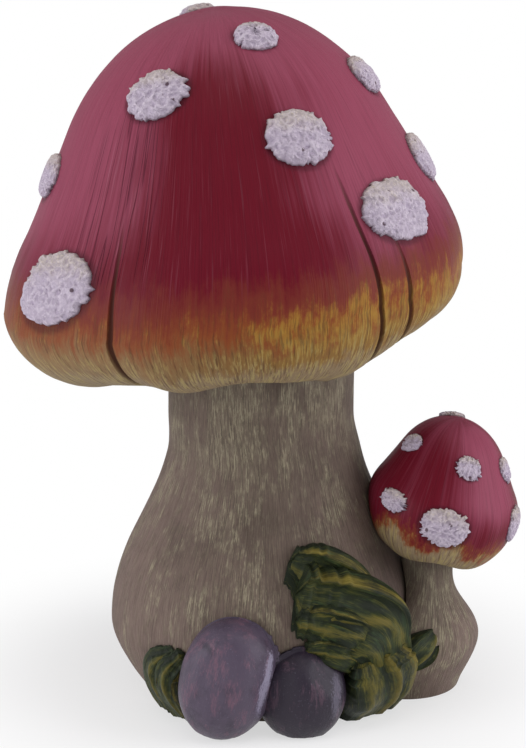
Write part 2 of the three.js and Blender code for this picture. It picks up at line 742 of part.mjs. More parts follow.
const smallCapGroup = new THREE.Group();
smallCapGroup.applyMatrix4(smallCapPlace);
smallCapGroup.add(piece("small_cap", smallCap(), FINISHES.cap));
SMALL_WARTS.forEach((row, i) => {
  const geometry = wart(smallCapShape, row, SMALL_WART_THICKNESS, SMALL_WART_SIDES, i + 31);
  smallCapGroup.add(piece(`small_cap_wart_${i + 1}`, geometry, FINISHES.wart));
});

figurine.add(
  piece("main_stalk", largeStalk(), FINISHES.stalk),
  piece("base_plate", basePlate(), FINISHES.base),
  capGroup,
  piece("small_stalk", smallStalk(), FINISHES.stalk),
  smallCapGroup,
);

// Each later piece is cut to fit against the earlier ones, so that none reaches into another.
const neighbours = [
  grown(largeBlank),
  grown(moved(smallBlank, smallPlace)),
  grown(moved(smallCapBlank, smallCapPlace)),
];
function bedded(name, form, finish) {
  figurine.add(piece(name, cut(form, below(), ...neighbours), finish));
  neighbours.push(grown(form));
}
for (const [name, row] of Object.entries(PEBBLES)) {
  bedded(`${name}_pebble`, pebble(row), FINISHES.pebble);
}
for (const [name, row] of Object.entries(LEAVES)) {
  bedded(`leaf_${name}`, leaf(row), FINISHES.leaf);
}

export default figurine;
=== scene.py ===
"""Looks of a hand-painted resin toadstool figurine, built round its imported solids.

The file is laid out as an add-on. Property groups hold the sizes and colours, each operator makes one
piece or a group of like pieces, and the panel lists the operators. Run as a script it makes the scene.
Bearings are measured round an upright axis: 0 faces the front, -Y, and they grow towards the right, +X.
Forms are worked out in millimetres and become metres where a mesh is made.
"""
import math
from types import SimpleNamespace

import bpy
import numpy as np
from mathutils import Matrix, Vector


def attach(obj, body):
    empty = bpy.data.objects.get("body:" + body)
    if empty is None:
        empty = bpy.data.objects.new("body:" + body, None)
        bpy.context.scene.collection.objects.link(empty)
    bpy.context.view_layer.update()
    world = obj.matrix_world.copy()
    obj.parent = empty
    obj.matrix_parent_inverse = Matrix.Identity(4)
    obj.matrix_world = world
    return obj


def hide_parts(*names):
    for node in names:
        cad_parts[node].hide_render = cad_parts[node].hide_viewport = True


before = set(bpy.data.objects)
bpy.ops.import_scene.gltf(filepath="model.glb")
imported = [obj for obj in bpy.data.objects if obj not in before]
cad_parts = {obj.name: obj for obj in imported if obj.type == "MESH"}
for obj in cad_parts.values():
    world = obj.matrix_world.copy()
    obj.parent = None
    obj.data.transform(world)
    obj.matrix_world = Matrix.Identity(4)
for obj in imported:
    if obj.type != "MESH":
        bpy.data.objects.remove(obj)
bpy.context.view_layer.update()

bl_info = {
    "name": "Resin toadstool figurine",
    "version": (1, 0, 0),
    "blender": (4, 5, 0),
    "location": "View3D > Sidebar > Toadstool",
    "description": "Dresses the packed toadstool figurine with painted, dry-brushed pieces",
    "category": "Add Mesh",
}

MM = 0.001
SEED = 7
CAP_SHOULDER = 0.66  # radius at which both caps turn steep, as a share of the widest ring's
CAP_INSET = 0.2  # how far a cap's skin lies inside its solid
STALK_INSET = 0.1  # how far a stalk's skin lies inside its solid
BOND_INSET = 0.3  # how far a stalk's skin ends below its bond face
PLATE_STEP = 2.7  # how far inside the foot the room for the base plate begins
PLATE_ROOM = 4.3  # height of that room
PHOTO_HEIGHT = 748  # in pixels
FOCAL = 1993  # focal length in pixels of the photograph

# Rings of each skin, and points on a ring.
GRIDS = {
    "large_stalk": (190, 250),
    "small_stalk": (110, 150),
    "large_cap": (165, 420),
    "small_cap": (110, 200),
    "wart": (35, 140),
    "pebble": (90, 150),
    "leaf": (90, 110),
}

# Brushed ridges: width, length and depth. Shallow dents: size and depth.
CAP_RIDGE = (3, 60, 0.28)
SMALL_CAP_RIDGE = (1.6, 60, 0.12)
PEBBLE_RIDGE, PEBBLE_DENT = (5, 16, 0.6), (9, 0.7)
LEAF_RIDGE, LEAF_DENT = (1.5, 9, 0.7), (5, 0.6)

# Splits in the large cap's rim: the bearing at the rim, how far they lean over as they rise, and the
# share of the outline, from apex (0) to lip (1), where they begin.
SPLITS = [
    (-27.2, -2.7, 0.55),
    (42, -9, 0.49),
    (51.5, -7, 0.64),
    (112, 3, 0.55),
    (168, -4, 0.48),
    (-118, 4, 0.52),
]

# Waves in the large cap's lip: the bearing, how far they spread round it in degrees, and the drop.
WAVES = [(-28, 9, -1.6), (38, 12, 6), (62, 9, -3), (93, 17, 5)]

# Warts: bearing, share of the outline from the apex, size across and along the slope, and turn.
WARTS = [
    (-26, 0.305, 22.5, 18, 12),
    (25.5, 0.187, 15, 13.5, -10),
    (-157, 0.09, 12, 11, 0),
    (25.3, 0.425, 22.5, 19.5, -8),
    (77, 0.335, 17, 15, 0),
    (83, 0.53, 20, 18, 0),
    (49.5, 0.6, 30, 22, -6),
    (-48.5, 0.68, 36, 25.5, 8),
    (-79, 0.48, 20, 16, 0),
    (127, 0.66, 25, 21, 12),
    (140, 0.36, 20, 18, -8),
    (-170, 0.55, 26, 22, 5),
    (-108, 0.72, 22, 20, -15),
    (-130, 0.36, 21, 19, 10),
    (180, 0.2, 15, 14, 0),
]
SMALL_WARTS = [
    (-165, 0.1, 9, 7, 0),
    (-66, 0.31, 9.5, 7, 20),
    (12, 0.35, 9.5, 8.5, -8),
    (-48, 0.62, 12, 8, 0),
    (-3.5, 0.675, 18, 14.5, -5),
    (70, 0.37, 9, 9, 0),
    (66, 0.66, 10, 14, 0),
    (128, 0.52, 12, 10, 0),
    (175, 0.35, 9, 8, 0),
]

# Pebbles and leaves are placed along the large belly, in millimetres from the front to the right.
# Pebbles: place along the belly, height of the middle, distance out from the belly, half sizes across,
# front to back and upwards, how far the top leans to the right, a seed, how much darker it is, and the
# faces worn flat: the direction each one faces, and how far out it lies as a share of the half sizes.
PEBBLES = {
    "large_pebble": (
        (-12.6, 20.3, 1, (17.2, 14.5, 22), 14, 1, 0.0),
        [((-0.3, -0.93, 0.2), 0.88), ((0.86, -0.5, 0.1), 0.88)],
    ),
    "small_pebble": (
        (12.6, 14, -2.5, (15.5, 13, 17), 4, 4, 1.0),
        [((-0.5, -0.85, 0.1), 0.92), ((0.6, -0.55, 0.6), 0.88)],
    ),
}

# Leaves: width, crown, bluntness, folds across half the width and a spine of four points from the tip
# to the stem. A point is a place along the belly, a height and a distance out from the stalk.
LEAVES = {
    "leaf_front": (28, 7, 0.8, 1.3, [(37.5, 28.5, 2), (39.5, 20, 6), (43, 8, 7), (43.5, -4, 3)]),
    "leaf_low": (10, 4, 0.6, 0.8, [(12.6, 30, 0), (19.4, 30, 3), (27.1, 26, 4), (33, 19, 1)]),
    "leaf_middle": (17, 6, 0.7, 0.8, [(9.7, 40, 0), (19.4, 38.5, 3), (28, 34, 5), (33.5, 26.5, 1)]),
    "leaf_large": (29, 8, 0.8, 1.1, [(10.2, 48, 0), (23.2, 44, 2), (37, 35, 5), (43.5, 19, 3)]),
    "leaf_top": (24, 4, 0.55, 1.0, [(8.7, 58, -1), (18, 54, 1), (30, 46, 3), (39, 34, 1)]),
    "leaf_right": (11, 5, 0, 0.7, [(65, 29.5, 10), (57.5, 25, 9), (49.6, 19, 7), (42.6, 10, 2)]),
    "leaf_left_inner": (12, 5, 0.6, 0.8, [(-28.1, 27, 0), (-32.9, 20, 3), (-34.9, 9, 4), (-32, -6, 2)]),
    "leaf_left_outer": (12, 4, 0.6, 0.8, [(-32, 26, -1), (-39.7, 21, 1), (-43.6, 12, 2), (-43.6, -6, 1)]),
}
FAN_LEAF = "leaf_front"  # the leaf whose folds run straight down it, like a fan's


# Settings


def length(name, description, millimetres):
    """A size that is given here in millimetres and kept in metres."""
    return bpy.props.FloatProperty(
        name=name, description=description, default=millimetres * MM, unit="LENGTH", precision=4
    )


def angle(name, description, degrees):
    return bpy.props.FloatProperty(
        name=name, description=description, default=math.radians(degrees), unit="ROTATION"
    )


def count(name, description, default):
    return bpy.props.IntProperty(name=name, description=description, default=default, min=3)


def strength(name, description, default, unit="NONE"):
    return bpy.props.FloatProperty(name=name, description=description, default=default, unit=unit)


def colour(name, description, red, green, blue):
    """A colour that is given here as it looks on a screen, 0 to 255, and kept as light."""
    light = [((v / 255 + 0.055) / 1.055) ** 2.4 for v in (red, green, blue)]
    return bpy.props.FloatVectorProperty(
        name=name, description=description, default=light, subtype="COLOR", min=0, max=1
    )


# Each setting's kind, name and description, and its value for the large and the small toadstool.
TOADSTOOL = {
    "along": (length, "Place", "Place along the large belly, from the front to the right", None, 81.4),
    "sink": (length, "Sink", "Overlap of the bellies before the small one is cut to fit", None, 30),
    "height": (length, "Stalk height", "Height of the bond face under the cap", 127.5, 56),
    "neck": (length, "Neck radius", "Radius of the straight neck", 33, 9.3),
    "waist": (length, "Waist height", "Height above which the neck is straight", 100, 47),
    "belly": (length, "Belly radius", "Radius of the stalk's widest ring", 55.5, 24.3),
    "belly_height": (length, "Belly height", "Height of the stalk's widest ring", 24, 17),
    "foot": (length, "Foot radius", "Radius on which the stalk stands", 44, 20),
    "sway": (length, "Sway", "How far the neck stands to the right of the foot", -1.3, 7),
    "sway_from": (length, "Sway start", "Height at which the neck starts to lean", 85, 0),
    "stoop": (length, "Stoop", "How far the neck stands in front of the foot", 0, 12),
    "flute_depth": (length, "Flute depth", "Depth of the stalk's broad flutes", 0.5, 0.3),
    "radius": (length, "Cap radius", "Radius of the cap's widest ring", 80.6, 26.7),
    "dome": (length, "Dome", "Height of the apex above the widest ring", 96, 31),
    "curl": (length, "Curl", "Depth of the rim below the widest ring", 22.5, 18.2),
    "lip": (length, "Lip radius", "Radius where the rim turns in to the gills", 53, 16),
    "recess": (length, "Recess", "Height of the bond face above the lowest ring", 5.5, 3),
    "offset": (length, "Cap offset", "How far the cap stands to the left of the neck", 8.5, -2.3),
    "tilt": (angle, "Cap tilt", "How far the rim hangs lower on the left", 6.5, -11),
    "lean": (length, "Lean", "How far the apex stands to the right", 5, -1),
    "bow": (length, "Bow", "How far the skirt swells to the right", 2.6, 0),
    "lift": (length, "Lift", "How much higher the lip turns in on the right", 3.5, 0),
    "lobes": (count, "Lobes", "Number of lobes in the rim", 9, 5),
    "lobe_depth": (length, "Lobe depth", "Depth of the lobes in the rim", 1.1, 0.5),
    "gills": (count, "Gills", "Number of gills under the cap", 64, 36),
    "gill_depth": (length, "Gill depth", "Depth of the gills", 2.5, 1.2),
    "split_width": (length, "Split width", "Width of a split at the lip", 2.6, None),
    "split_depth": (length, "Split depth", "Depth of a split at the lip", 3.2, None),
}

# Each colour's description, and how it looks on a screen.
COLOURS = {
    "cap_red": ("Deep red of the caps", 101, 9, 30),
    # Painted sheen: a dusty pink that stands in for the side lamps' reflection on the caps.
    "cap_sheen": ("Dusty pink bloom on the caps", 150, 72, 94),
    # This dark red also paints the shade round the warts.
    "cap_dark": ("Dark red round the warts", 56, 12, 24),
    # Painted shade: wine red in the scores.
    "cap_wine_shade": ("Wine red in the scores", 72, 16, 36),
    # Painted sheen: these pale pink streaks stand in for a fine sheen on the red.
    "cap_gleam": ("Pale pink brushed over the red", 172, 112, 128),
    # Painted shade: dark brown inside the splits.
    "cap_crevice_shade": ("Dark brown inside the splits", 76, 42, 34),
    "cap_rust": ("Rust where the red meets the rim", 116, 46, 36),
    "cap_amber": ("Amber brown above the rim", 134, 70, 34),
    "cap_khaki": ("Khaki of the rim", 130, 100, 58),
    "cap_beige": ("Beige along the lip", 144, 126, 100),
    "cap_ochre": ("Ochre patches on the rim", 172, 136, 54),
    "cap_straw": ("Straw strokes over the ochre", 176, 160, 104),
    "cap_umber": ("Brown strokes between the ochre ones", 74, 46, 32),
    "stalk_brown": ("Grey-brown of the stalks", 106, 92, 82),
    # Warmer brown low down, laid on lighter at the sides: partly the paint, partly painted light from the
    # side lamps.
    "stalk_rose_and_light": ("Warmer brown low on the stalks", 132, 113, 105),
    "stalk_khaki": ("Pale dry-brushed strokes", 166, 158, 132),
    "stalk_dark": ("Dark lines between the strokes", 62, 52, 45),
    "stalk_shade": ("Brown where the two bellies meet", 63, 52, 49),
    "wart_pale": ("Pale lilac of the warts", 204, 192, 206),
    # Painted light: cream on the upper edge of the warts.
    "wart_top_light": ("Cream on the upper edge of the warts", 202, 190, 176),
    # Painted shade: lilac-grey in the pits and between the grains.
    "wart_pit_shade": ("Lilac-grey in the pits", 148, 134, 156),
    # Painted highlight: white on the ridges between the pits.
    "wart_ridge_highlight": ("White on the ridges between the pits", 218, 208, 218),
    # Painted shade: dark red along the foot of the warts.
    "wart_foot_shade": ("Dark red along the foot of the warts", 80, 50, 60),
    "pebble_grey": ("Purple-grey of the pebbles", 84, 73, 90),
    "pebble_dark": ("Dark tone of the pebbles", 42, 34, 48),
    "pebble_rose": ("Rose strokes on the pebbles", 118, 86, 102),
    # Pale scuffs, partly a painted highlight along the right-hand ridge.
    "pebble_scuff_and_highlight": ("Pale scuffs on the pebbles", 164, 158, 180),
    "leaf_green": ("Green of the leaves", 56, 66, 30),
    # Partly painted shade: the dark green left in the folds.
    "leaf_dark": ("Dark green in the folds", 26, 34, 20),
    "leaf_moss": ("Bluish green strokes on the leaves", 66, 88, 56),
    # Partly painted highlight: olive on the raised folds.
    "leaf_olive": ("Olive on the raised folds", 112, 98, 36),
    # Partly painted highlight: yellow along the upper edges.
    "leaf_gold": ("Yellow on the edges", 160, 146, 70),
    "base_resin": ("Bare resin of the base plate", 74, 68, 64),
    "base_dark": ("Dark patches in the bare resin", 60, 56, 53),
}


def toadstool_fields(column):
    """The settings of one toadstool, from its column of the table."""
    fields = {}
    for key, (kind, name, description, *values) in TOADSTOOL.items():
        if values[column] is not None:
            fields[key] = kind(name, description, values[column])
    return fields


class LargeToadstool(bpy.types.PropertyGroup):
    """Sizes of the large toadstool."""

    __annotations__ = toadstool_fields(0)


class SmallToadstool(bpy.types.PropertyGroup):
    """Sizes of the small toadstool and its place beside the large one."""

    __annotations__ = toadstool_fields(1)


class ReliefSizes(bpy.types.PropertyGroup):
    """Sizes of the relief on the castings and of the warts."""

    bond_gap: length("Bond gap", "Room for adhesive between neighbouring castings", 0.3)
    wart_thickness: length("Wart thickness", "Thickness of a wart on the large cap", 3.2)
    small_wart_thickness: length("Small wart thickness", "Thickness on the small cap", 1.6)
    pit_size: length("Pit size", "Size of the pits that the stippling leaves", 2.9)
    pit_depth: length("Pit depth", "Depth of the pits", 0.65)
    ridge_width: length("Ridge width", "Width of the brushed ridges on a stalk", 2.2)
    ridge_depth: length("Ridge depth", "Depth of the brushed ridges on a stalk", 0.2)
    dent_size: length("Dent size", "Size of the shallow dents in every casting", 16)
    dent_depth: length("Dent depth", "Depth of the shallow dents", 0.5)


class PaintColours(bpy.types.PropertyGroup):
    """Colours of the paint."""

    __annotations__ = {
        key: colour(key.replace("_", " ").capitalize(), *row) for key, row in COLOURS.items()
    }


class StageSettings(bpy.types.PropertyGroup):
    """Strengths of the studio light."""

    ambient: strength("Ambient", "Strength of the light from all round", 0.4)
    key: strength("Key lamp", "Power of the lamp overhead", 2.6, "POWER")
    side: strength("Side lamps", "Power of each lamp at the side", 4.2, "POWER")
    floor: colour("Floor", "Colour of the pale floor", 247, 247, 248)


def settings_of(key):
    return getattr(bpy.context.scene, f"toadstool_{key}")


def sizes(key):
    """A settings group's values, with its lengths in millimetres."""
    group = settings_of(key)
    values = {}
    for name, prop in group.bl_rna.properties.items():
        if name not in ("rna_type", "name"):
            value = getattr(group, name)
            values[name] = value / MM if prop.unit == "LENGTH" else value
    return SimpleNamespace(**values)


# Numbers and points


def lerp(low, high, share):
    return low + (high - low) * share


def smoothstep(value, low, high):
    t = np.clip((value - low) / (high - low), 0, 1)
    return t * t * (3 - 2 * t)


def bell(away, spread):
    """1 at zero, fading to either side."""
    return np.exp(-((away / spread) ** 2))


def wrapped(degrees):
    """An angle in degrees brought to between -180 and 180."""
    return (degrees + 180) % 360 - 180


def cos_sin(degrees):
    return math.cos(math.radians(degrees)), math.sin(math.radians(degrees))


def circle(number):
    """Bearings spaced evenly round a circle."""
    return np.linspace(0, 2 * np.pi, number + 1)[:-1]


def widened(values, columns):
    """One value for each ring, repeated along the ring."""
    return np.repeat(np.asarray(values)[:, None], columns, 1)


def repeated(ring, rows):
    """A ring's values, repeated for a number of rings."""
    return np.repeat(ring[None], rows, 0)


def unit(vectors):
    return vectors / np.linalg.norm(vectors, axis=-1, keepdims=True)


def at_bearing(bearing, radius, z):
    return np.stack(np.broadcast_arrays(radius * np.sin(bearing), -radius * np.cos(bearing), z), -1)


def bezier(points, number=120):
    t = np.linspace(0, 1, number)[:, None]
    a, b, c, d = np.array(points, float)
    return a * (1 - t) ** 3 + b * 3 * t * (1 - t) ** 2 + c * 3 * t**2 * (1 - t) + d * t**3


def catmull(knots, number):
    """A centripetal spline through the knots."""
    ends = np.vstack([2 * knots[0] - knots[1], knots, 2 * knots[-1] - knots[-2]])
    pieces = []
    for k in range(len(knots) - 1):
        p = ends[k : k + 4]
        gaps = np.linalg.norm(np.diff(p, axis=0), axis=1) ** 0.5
        s = np.concatenate([[0], np.cumsum(gaps)])
        t = np.linspace(s[1], s[2], number // (len(knots) - 1), endpoint=False)[:, None]
        a = [lerp(p[i], p[i + 1], (t - s[i]) / (s[i + 1] - s[i])) for i in range(3)]
        b = [lerp(a[i], a[i + 1], (t - s[i]) / (s[i + 2] - s[i])) for i in range(2)]
        pieces.append(lerp(b[0], b[1], (t - s[1]) / (s[2] - s[1])))
    return np.vstack([*pieces, knots[-1:]])


def moved(points, matrix):
    m = np.array(matrix)
    return points @ m[:3, :3].T + m[:3, 3]


def to_matrix(axes, place):
    """A matrix with the given axes as its columns."""
    m = np.eye(4)
    m[:3, :3] = np.array(axes).T
    m[:3, 3] = place
    return Matrix(m.tolist())


# Node trees


class Wire:
    """An output in a node tree. Arithmetic on it adds Math nodes, and its methods add other nodes."""

    def __init__(self, graph, socket):
        self.graph = graph
        self.socket = socket

    def maths(self, operation, first, second):
        return self.graph.node("ShaderNodeMath", {"operation": operation}, {0: first, 1: second})

    def __add__(self, other):
        return self.maths("ADD", self, other)

    def __sub__(self, other):
        return self.maths("SUBTRACT", self, other)

    def __rsub__(self, other):
        return self.maths("SUBTRACT", other, self)

    def __mul__(self, other):
        return self.maths("MULTIPLY", self, other)

    def __truediv__(self, other):
        return self.maths("DIVIDE", self, other)

    def __rtruediv__(self, other):
        return self.maths("DIVIDE", other, self)

    __radd__ = __add__
    __rmul__ = __mul__

    def swing(self, amount):
        """A noise's distance from its middle value, times an amount."""
        return (self - 0.5) * amount

    def between(self, low, high):
        """0 below one value and 1 above another, with a smooth rise."""
        sockets = {0: self, 1: low, 2: high, 3: 0.0, 4: 1.0}
        return self.graph.node("ShaderNodeMapRange", {"interpolation_type": "SMOOTHSTEP"}, sockets)

    def vector(self, operation, other=None, out=0):
        """Vector Math on this vector with another one, or with the number that scales it."""
        sockets = {0: self}
        if other is not None:
            sockets["Scale" if operation == "SCALE" else 1] = other
        return self.graph.node("ShaderNodeVectorMath", {"operation": operation}, sockets, out)

    def scaled(self, x, y, z):
        return self.vector("MULTIPLY", (x, y, z))

    def shifted(self, x, y, z):
        return self.vector("ADD", (x, y, z))

    def noise(self, scale=1.0, detail=2.0, roughness=0.5, out=0):
        sockets = {"Vector": self, "Scale": scale, "Detail": detail, "Roughness": roughness}
        return self.graph.node("ShaderNodeTexNoise", {}, sockets, out)

    def streaks(self, width, length, detail=2.0, roughness=0.55):
        """Noise drawn out along the grain, with sizes in millimetres."""
        return self.scaled(1 / width, 1 / width, 1 / length).noise(1, detail, roughness)


class Graph:
    """A node tree that is written as expressions."""

    def __init__(self, tree):
        self.tree = tree

    def node(self, kind, settings=None, sockets=None, out=0):
        """Adds a node with its settings and its sockets' values or links, and returns an output."""
        node = self.tree.nodes.new(kind)
        for key, value in (settings or {}).items():
            setattr(node, key, value)
        for key, value in (sockets or {}).items():
            target = node.inputs[key]
            if isinstance(value, Wire):
                self.tree.links.new(value.socket, target)
            elif target.type == "RGBA" and len(value) == 3:
                target.default_value = (*value, 1)
            else:
                target.default_value = value
        return Wire(self, node.outputs[out]) if len(node.outputs) else None

    def xyz(self, x=0.0, y=0.0, z=0.0):
        return self.node("ShaderNodeCombineXYZ", {}, {0: x, 1: y, 2: z})


class Paint(Graph):
    """A painted finish: coats of colour, laid one over another, on a Principled shader."""

    def __init__(self, name):
        self.material = bpy.data.materials.new(name)
        self.material.use_nodes = True
        super().__init__(self.material.node_tree)
        self.tree.nodes.clear()
        self.tone = None

    def mark(self, name, out="Fac"):
        return self.node("ShaderNodeAttribute", {"attribute_name": name}, {}, out)

    def grain(self):
        return self.mark("grain", "Vector")

    def spot(self):
        return self.node("ShaderNodeTexCoord", {}, {}, "Object")

    def coat(self, name, share=None):
        """Lays a share of a colour over the tone so far. The first coat covers all."""
        tone = getattr(settings_of("colours"), name)[:]
        if share is not None:
            sockets = {0: share, 6: self.tone, 7: tone}
            tone = self.node("ShaderNodeMix", {"data_type": "RGBA"}, sockets, out=2)
        self.tone = tone

    def finish(self, roughness, height, depth, specular):
        """Closes the tree. The height, from 0 to 1, raises the surface by the depth in millimetres."""
        bump = self.node("ShaderNodeBump", {}, {"Height": height, "Distance": depth * MM}, "Normal")
        sockets = {"Base Color": self.tone, "Roughness": roughness, "Normal": bump}
        sockets["Specular IOR Level"] = specular
        shader = self.node("ShaderNodeBsdfPrincipled", {}, sockets, "BSDF")
        self.node("ShaderNodeOutputMaterial", {}, {"Surface": shader})
        return self.material


class Shape(Graph):
    """A geometry node tree with named inputs. Each has a default, or the name of its kind."""

    def __init__(self, name, inputs):
        tree = bpy.data.node_groups.new(name, "GeometryNodeTree")
        super().__init__(tree)
        add = tree.interface.new_socket
        add("Geometry", in_out="INPUT", socket_type="NodeSocketGeometry")
        kinds = {int: "Int", float: "Float"}
        for label, default in inputs.items():
            kind = kinds.get(type(default), default)
            item = add(label, in_out="INPUT", socket_type=f"NodeSocket{kind}")
            if kind != default:
                item.default_value = default
        add("Geometry", in_out="OUTPUT", socket_type="NodeSocketGeometry")
        self.entry = tree.nodes.new("NodeGroupInput")

    def input(self, label):
        return Wire(self, self.entry.outputs[label])

    def named(self, name, kind="FLOAT"):
        return self.node("GeometryNodeInputNamedAttribute", {"data_type": kind}, {"Name": name})

    def place(self):
        return self.node("GeometryNodeInputPosition")

    def normal(self):
        return self.node("GeometryNodeInputNormal")

    def mesh_of(self, label):
        return self.node("GeometryNodeObjectInfo", {}, {"Object": self.input(label)}, "Geometry")

    def pushed(self, geometry, offset):
        return self.node("GeometryNodeSetPosition", {}, {"Geometry": geometry, "Offset": offset})

    def realized(self, geometry):
        return self.node("GeometryNodeRealizeInstances", {}, {"Geometry": geometry})

    def close(self, geometry):
        """Realizes what is instanced, sets the material and ends the tree."""
        sockets = {"Geometry": self.realized(geometry), "Material": self.input("Material")}
        painted = self.node("GeometryNodeSetMaterial", {}, sockets)
        self.node("NodeGroupOutput", {}, {"Geometry": painted})
        return self.tree


def grown_on(piece, maker, values):
    """Runs a geometry tree on a piece and leaves the result as its plain mesh."""
    tree = bpy.data.node_groups.get(maker.__name__) or maker(maker.__name__)
    modifier = piece.modifiers.new(tree.name, "NODES")
    modifier.node_group = tree
    for item in tree.interface.items_tree:
        if item.item_type == "SOCKET" and item.in_out == "INPUT" and item.name in values:
            modifier[item.identifier] = values[item.name]
    bpy.context.view_layer.update()
    graph = bpy.context.evaluated_depsgraph_get()
    mesh = bpy.data.meshes.new_from_object(
        piece.evaluated_get(graph), preserve_all_data_layers=True, depsgraph=graph
    )
    piece.modifiers.clear()
    piece.data = mesh
    mesh.name = piece.name
    mesh.shade_smooth()


# Trees


def casting_relief(name):
    """Brushed ridges along the grain and shallow dents, all sunk into the skin."""
    inputs = {"Ridge Width": 2.0, "Ridge Length": 30.0, "Ridge Depth": 0.3}
    inputs.update({"Dent Size": 16.0, "Dent Depth": 0.5, "Seed": 0.0, "Material": "Material"})
    g = Shape(name, inputs)
    seed = g.input("Seed") * 17.0
    across = 1.0 / g.input("Ridge Width")
    stretch = g.xyz(across, across, 1.0 / g.input("Ridge Length"))
    drawn = g.named("grain", "FLOAT_VECTOR").vector("MULTIPLY", stretch)
    ridges = drawn.vector("ADD", g.xyz(seed, seed, seed)).noise(1.0, 3.0, 0.6)
    dents = g.place().noise(1000.0 / g.input("Dent Size"), 1.0, 0.4)
    share = g.input("Ridge Depth") * ridges + g.input("Dent Depth") * dents
    depth = share * g.named("relief") * -MM
    return g.close(g.pushed(g.input("Geometry"), g.normal().vector("SCALE", depth)))


def warts_on_cap(name):
    """Cakes of paste: one on each point, laid on the cap's skin, with a ragged edge and pits."""
    inputs = {"Cap": "Object", "Cake": "Object", "Thickness": 0.003, "Sink": 0.0002, "Drips": 0.12}
    inputs.update({"Pit Size": 0.0025, "Pit Depth": 0.001, "Material": "Material"})
    g = Shape(name, inputs)
    cap = g.mesh_of("Cap")
    facing = {"Euler": g.named("facing", "FLOAT_VECTOR")}
    sockets = {"Points": g.input("Geometry"), "Instance": g.mesh_of("Cake")}
    sockets["Rotation"] = g.node("FunctionNodeEulerToRotation", {}, facing)
    sockets["Scale"] = g.named("size", "FLOAT_VECTOR")
    whole = g.realized(g.node("GeometryNodeInstanceOnPoints", {}, sockets))

    # The edge is drawn out into drips.
    seed = g.named("seed")
    place = g.place()
    arm = place.vector("SUBTRACT", g.named("middle", "FLOAT_VECTOR"))
    shift = g.xyz(seed * 3.7, seed * 1.3, seed)
    turned = g.named("spoke", "FLOAT_VECTOR").vector("ADD", shift)
    torn = g.input("Drips") * (turned.noise(2.3, 1.0).between(0.4, 0.62) * 1.3 + 0.3)
    fine = turned.noise(5.2, 2.0, 0.6)
    ragged = turned.noise(1.3, 1.0).swing(0.24) + (fine.between(0.38, 0.7) - 0.4) * torn
    spread = g.pushed(whole, arm.vector("SCALE", ragged * g.named("edge")))

    # Every point is then laid on the skin and raised by its share of the thickness.
    nearest = g.node("GeometryNodeProximity", {"target_element": "FACES"}, {0: cap}, "Position")
    normal = g.normal()
    sockets = {"Mesh": cap, "Value": normal, "Sample Position": place}
    out = g.node("GeometryNodeSampleNearestSurface", {"data_type": "FLOAT_VECTOR"}, sockets)
    raised = g.named("rise") * g.input("Thickness") - g.input("Sink")
    laid = {"Geometry": spread, "Position": nearest.vector("ADD", out.vector("SCALE", raised))}
    bedded = g.node("GeometryNodeSetPosition", {}, laid)

    # Stippling leaves pits with sharp rims between them.
    warp = place.noise(330.0, 3.0, out="Color").vector("SCALE", 3.4 * MM)
    cells = {"Vector": place.vector("ADD", warp), "Scale": 1.0 / g.input("Pit Size")}
    wall = g.node("ShaderNodeTexVoronoi", {"feature": "DISTANCE_TO_EDGE"}, cells)
    sockets = {"Geometry": bedded, "Name": "pit", "Value": wall.between(0.0, 0.3)}
    marked = g.node("GeometryNodeStoreNamedAttribute", {"data_type": "FLOAT"}, sockets)
    rough = place.noise(1500.0, 2.0, 0.6)
    depth = (g.named("pit") * -1.0 + rough.swing(0.7)) * g.input("Pit Depth") * g.named("open")
    return g.close(g.pushed(marked, normal.vector("SCALE", depth)))


def gills_under_cap(name):
    """Thin gills that run from the lip to the collar round the stalk."""
    inputs = {"Gill": "Object", "Count": 36, "Lip Radius": 0.05, "Collar Radius": 0.03}
    inputs.update({"Collar Offset": 0.0, "Height": 0.0, "Depth": 0.003, "Thickness": 0.0008})
    inputs["Material"] = "Material"
    g = Shape(name, inputs)
    rim = g.node("GeometryNodeMeshCircle", {}, {0: g.input("Count"), 1: g.input("Lip Radius")})
    place = g.place()
    inner = place.vector("NORMALIZE").vector("SCALE", g.input("Collar Radius"))
    run = inner.vector("ADD", g.xyz(g.input("Collar Offset"))).vector("SUBTRACT", place)
    turn = {"axis": "X", "pivot_axis": "Z"}
    reach = run.vector("LENGTH", out="Value")
    sockets = {"Points": rim, "Instance": g.mesh_of("Gill")}
    sockets["Rotation"] = g.node("FunctionNodeAlignRotationToVector", turn, {"Vector": run})
    sockets["Scale"] = g.xyz(reach, g.input("Thickness"), g.input("Depth"))
    ring = g.node("GeometryNodeInstanceOnPoints", {}, sockets)
    level = {"Geometry": ring, "Translation": g.xyz(z=g.input("Height"))}
    return g.close(g.node("GeometryNodeTransform", {}, level))


# Meshes


def linked(name, vertices, faces, marks=None):
    """A mesh object from points in millimetres. Marks are values kept at its points."""
    mesh = bpy.data.meshes.new(name)
    mesh.from_pydata((np.asarray(vertices) * MM).tolist(), [], faces)
    for key, values in (marks or {}).items():
        kind, field = ("FLOAT_VECTOR", "vector") if np.ndim(values) == 2 else ("FLOAT", "value")
        layer = mesh.attributes.new(key, kind, "POINT")
        layer.data.foreach_set(field, np.asarray(values, np.float32).ravel())
    mesh.validate()
    mesh.shade_smooth()
    piece = bpy.data.objects.new(name, mesh)
    bpy.context.collection.objects.link(piece)
    return piece


def fan(rings, number):
    """Faces of a point and of the rings round it, with the same number of points on each ring."""
    steps = [(i, (i + 1) % number) for i in range(number)]
    faces = [(0, 1 + i, 1 + j) for i, j in steps]
    for top in range(1, 1 + (rings - 1) * number, number):
        low = top + number
        faces += [(top + i, low + i, low + j, top + j) for i, j in steps]
    return faces


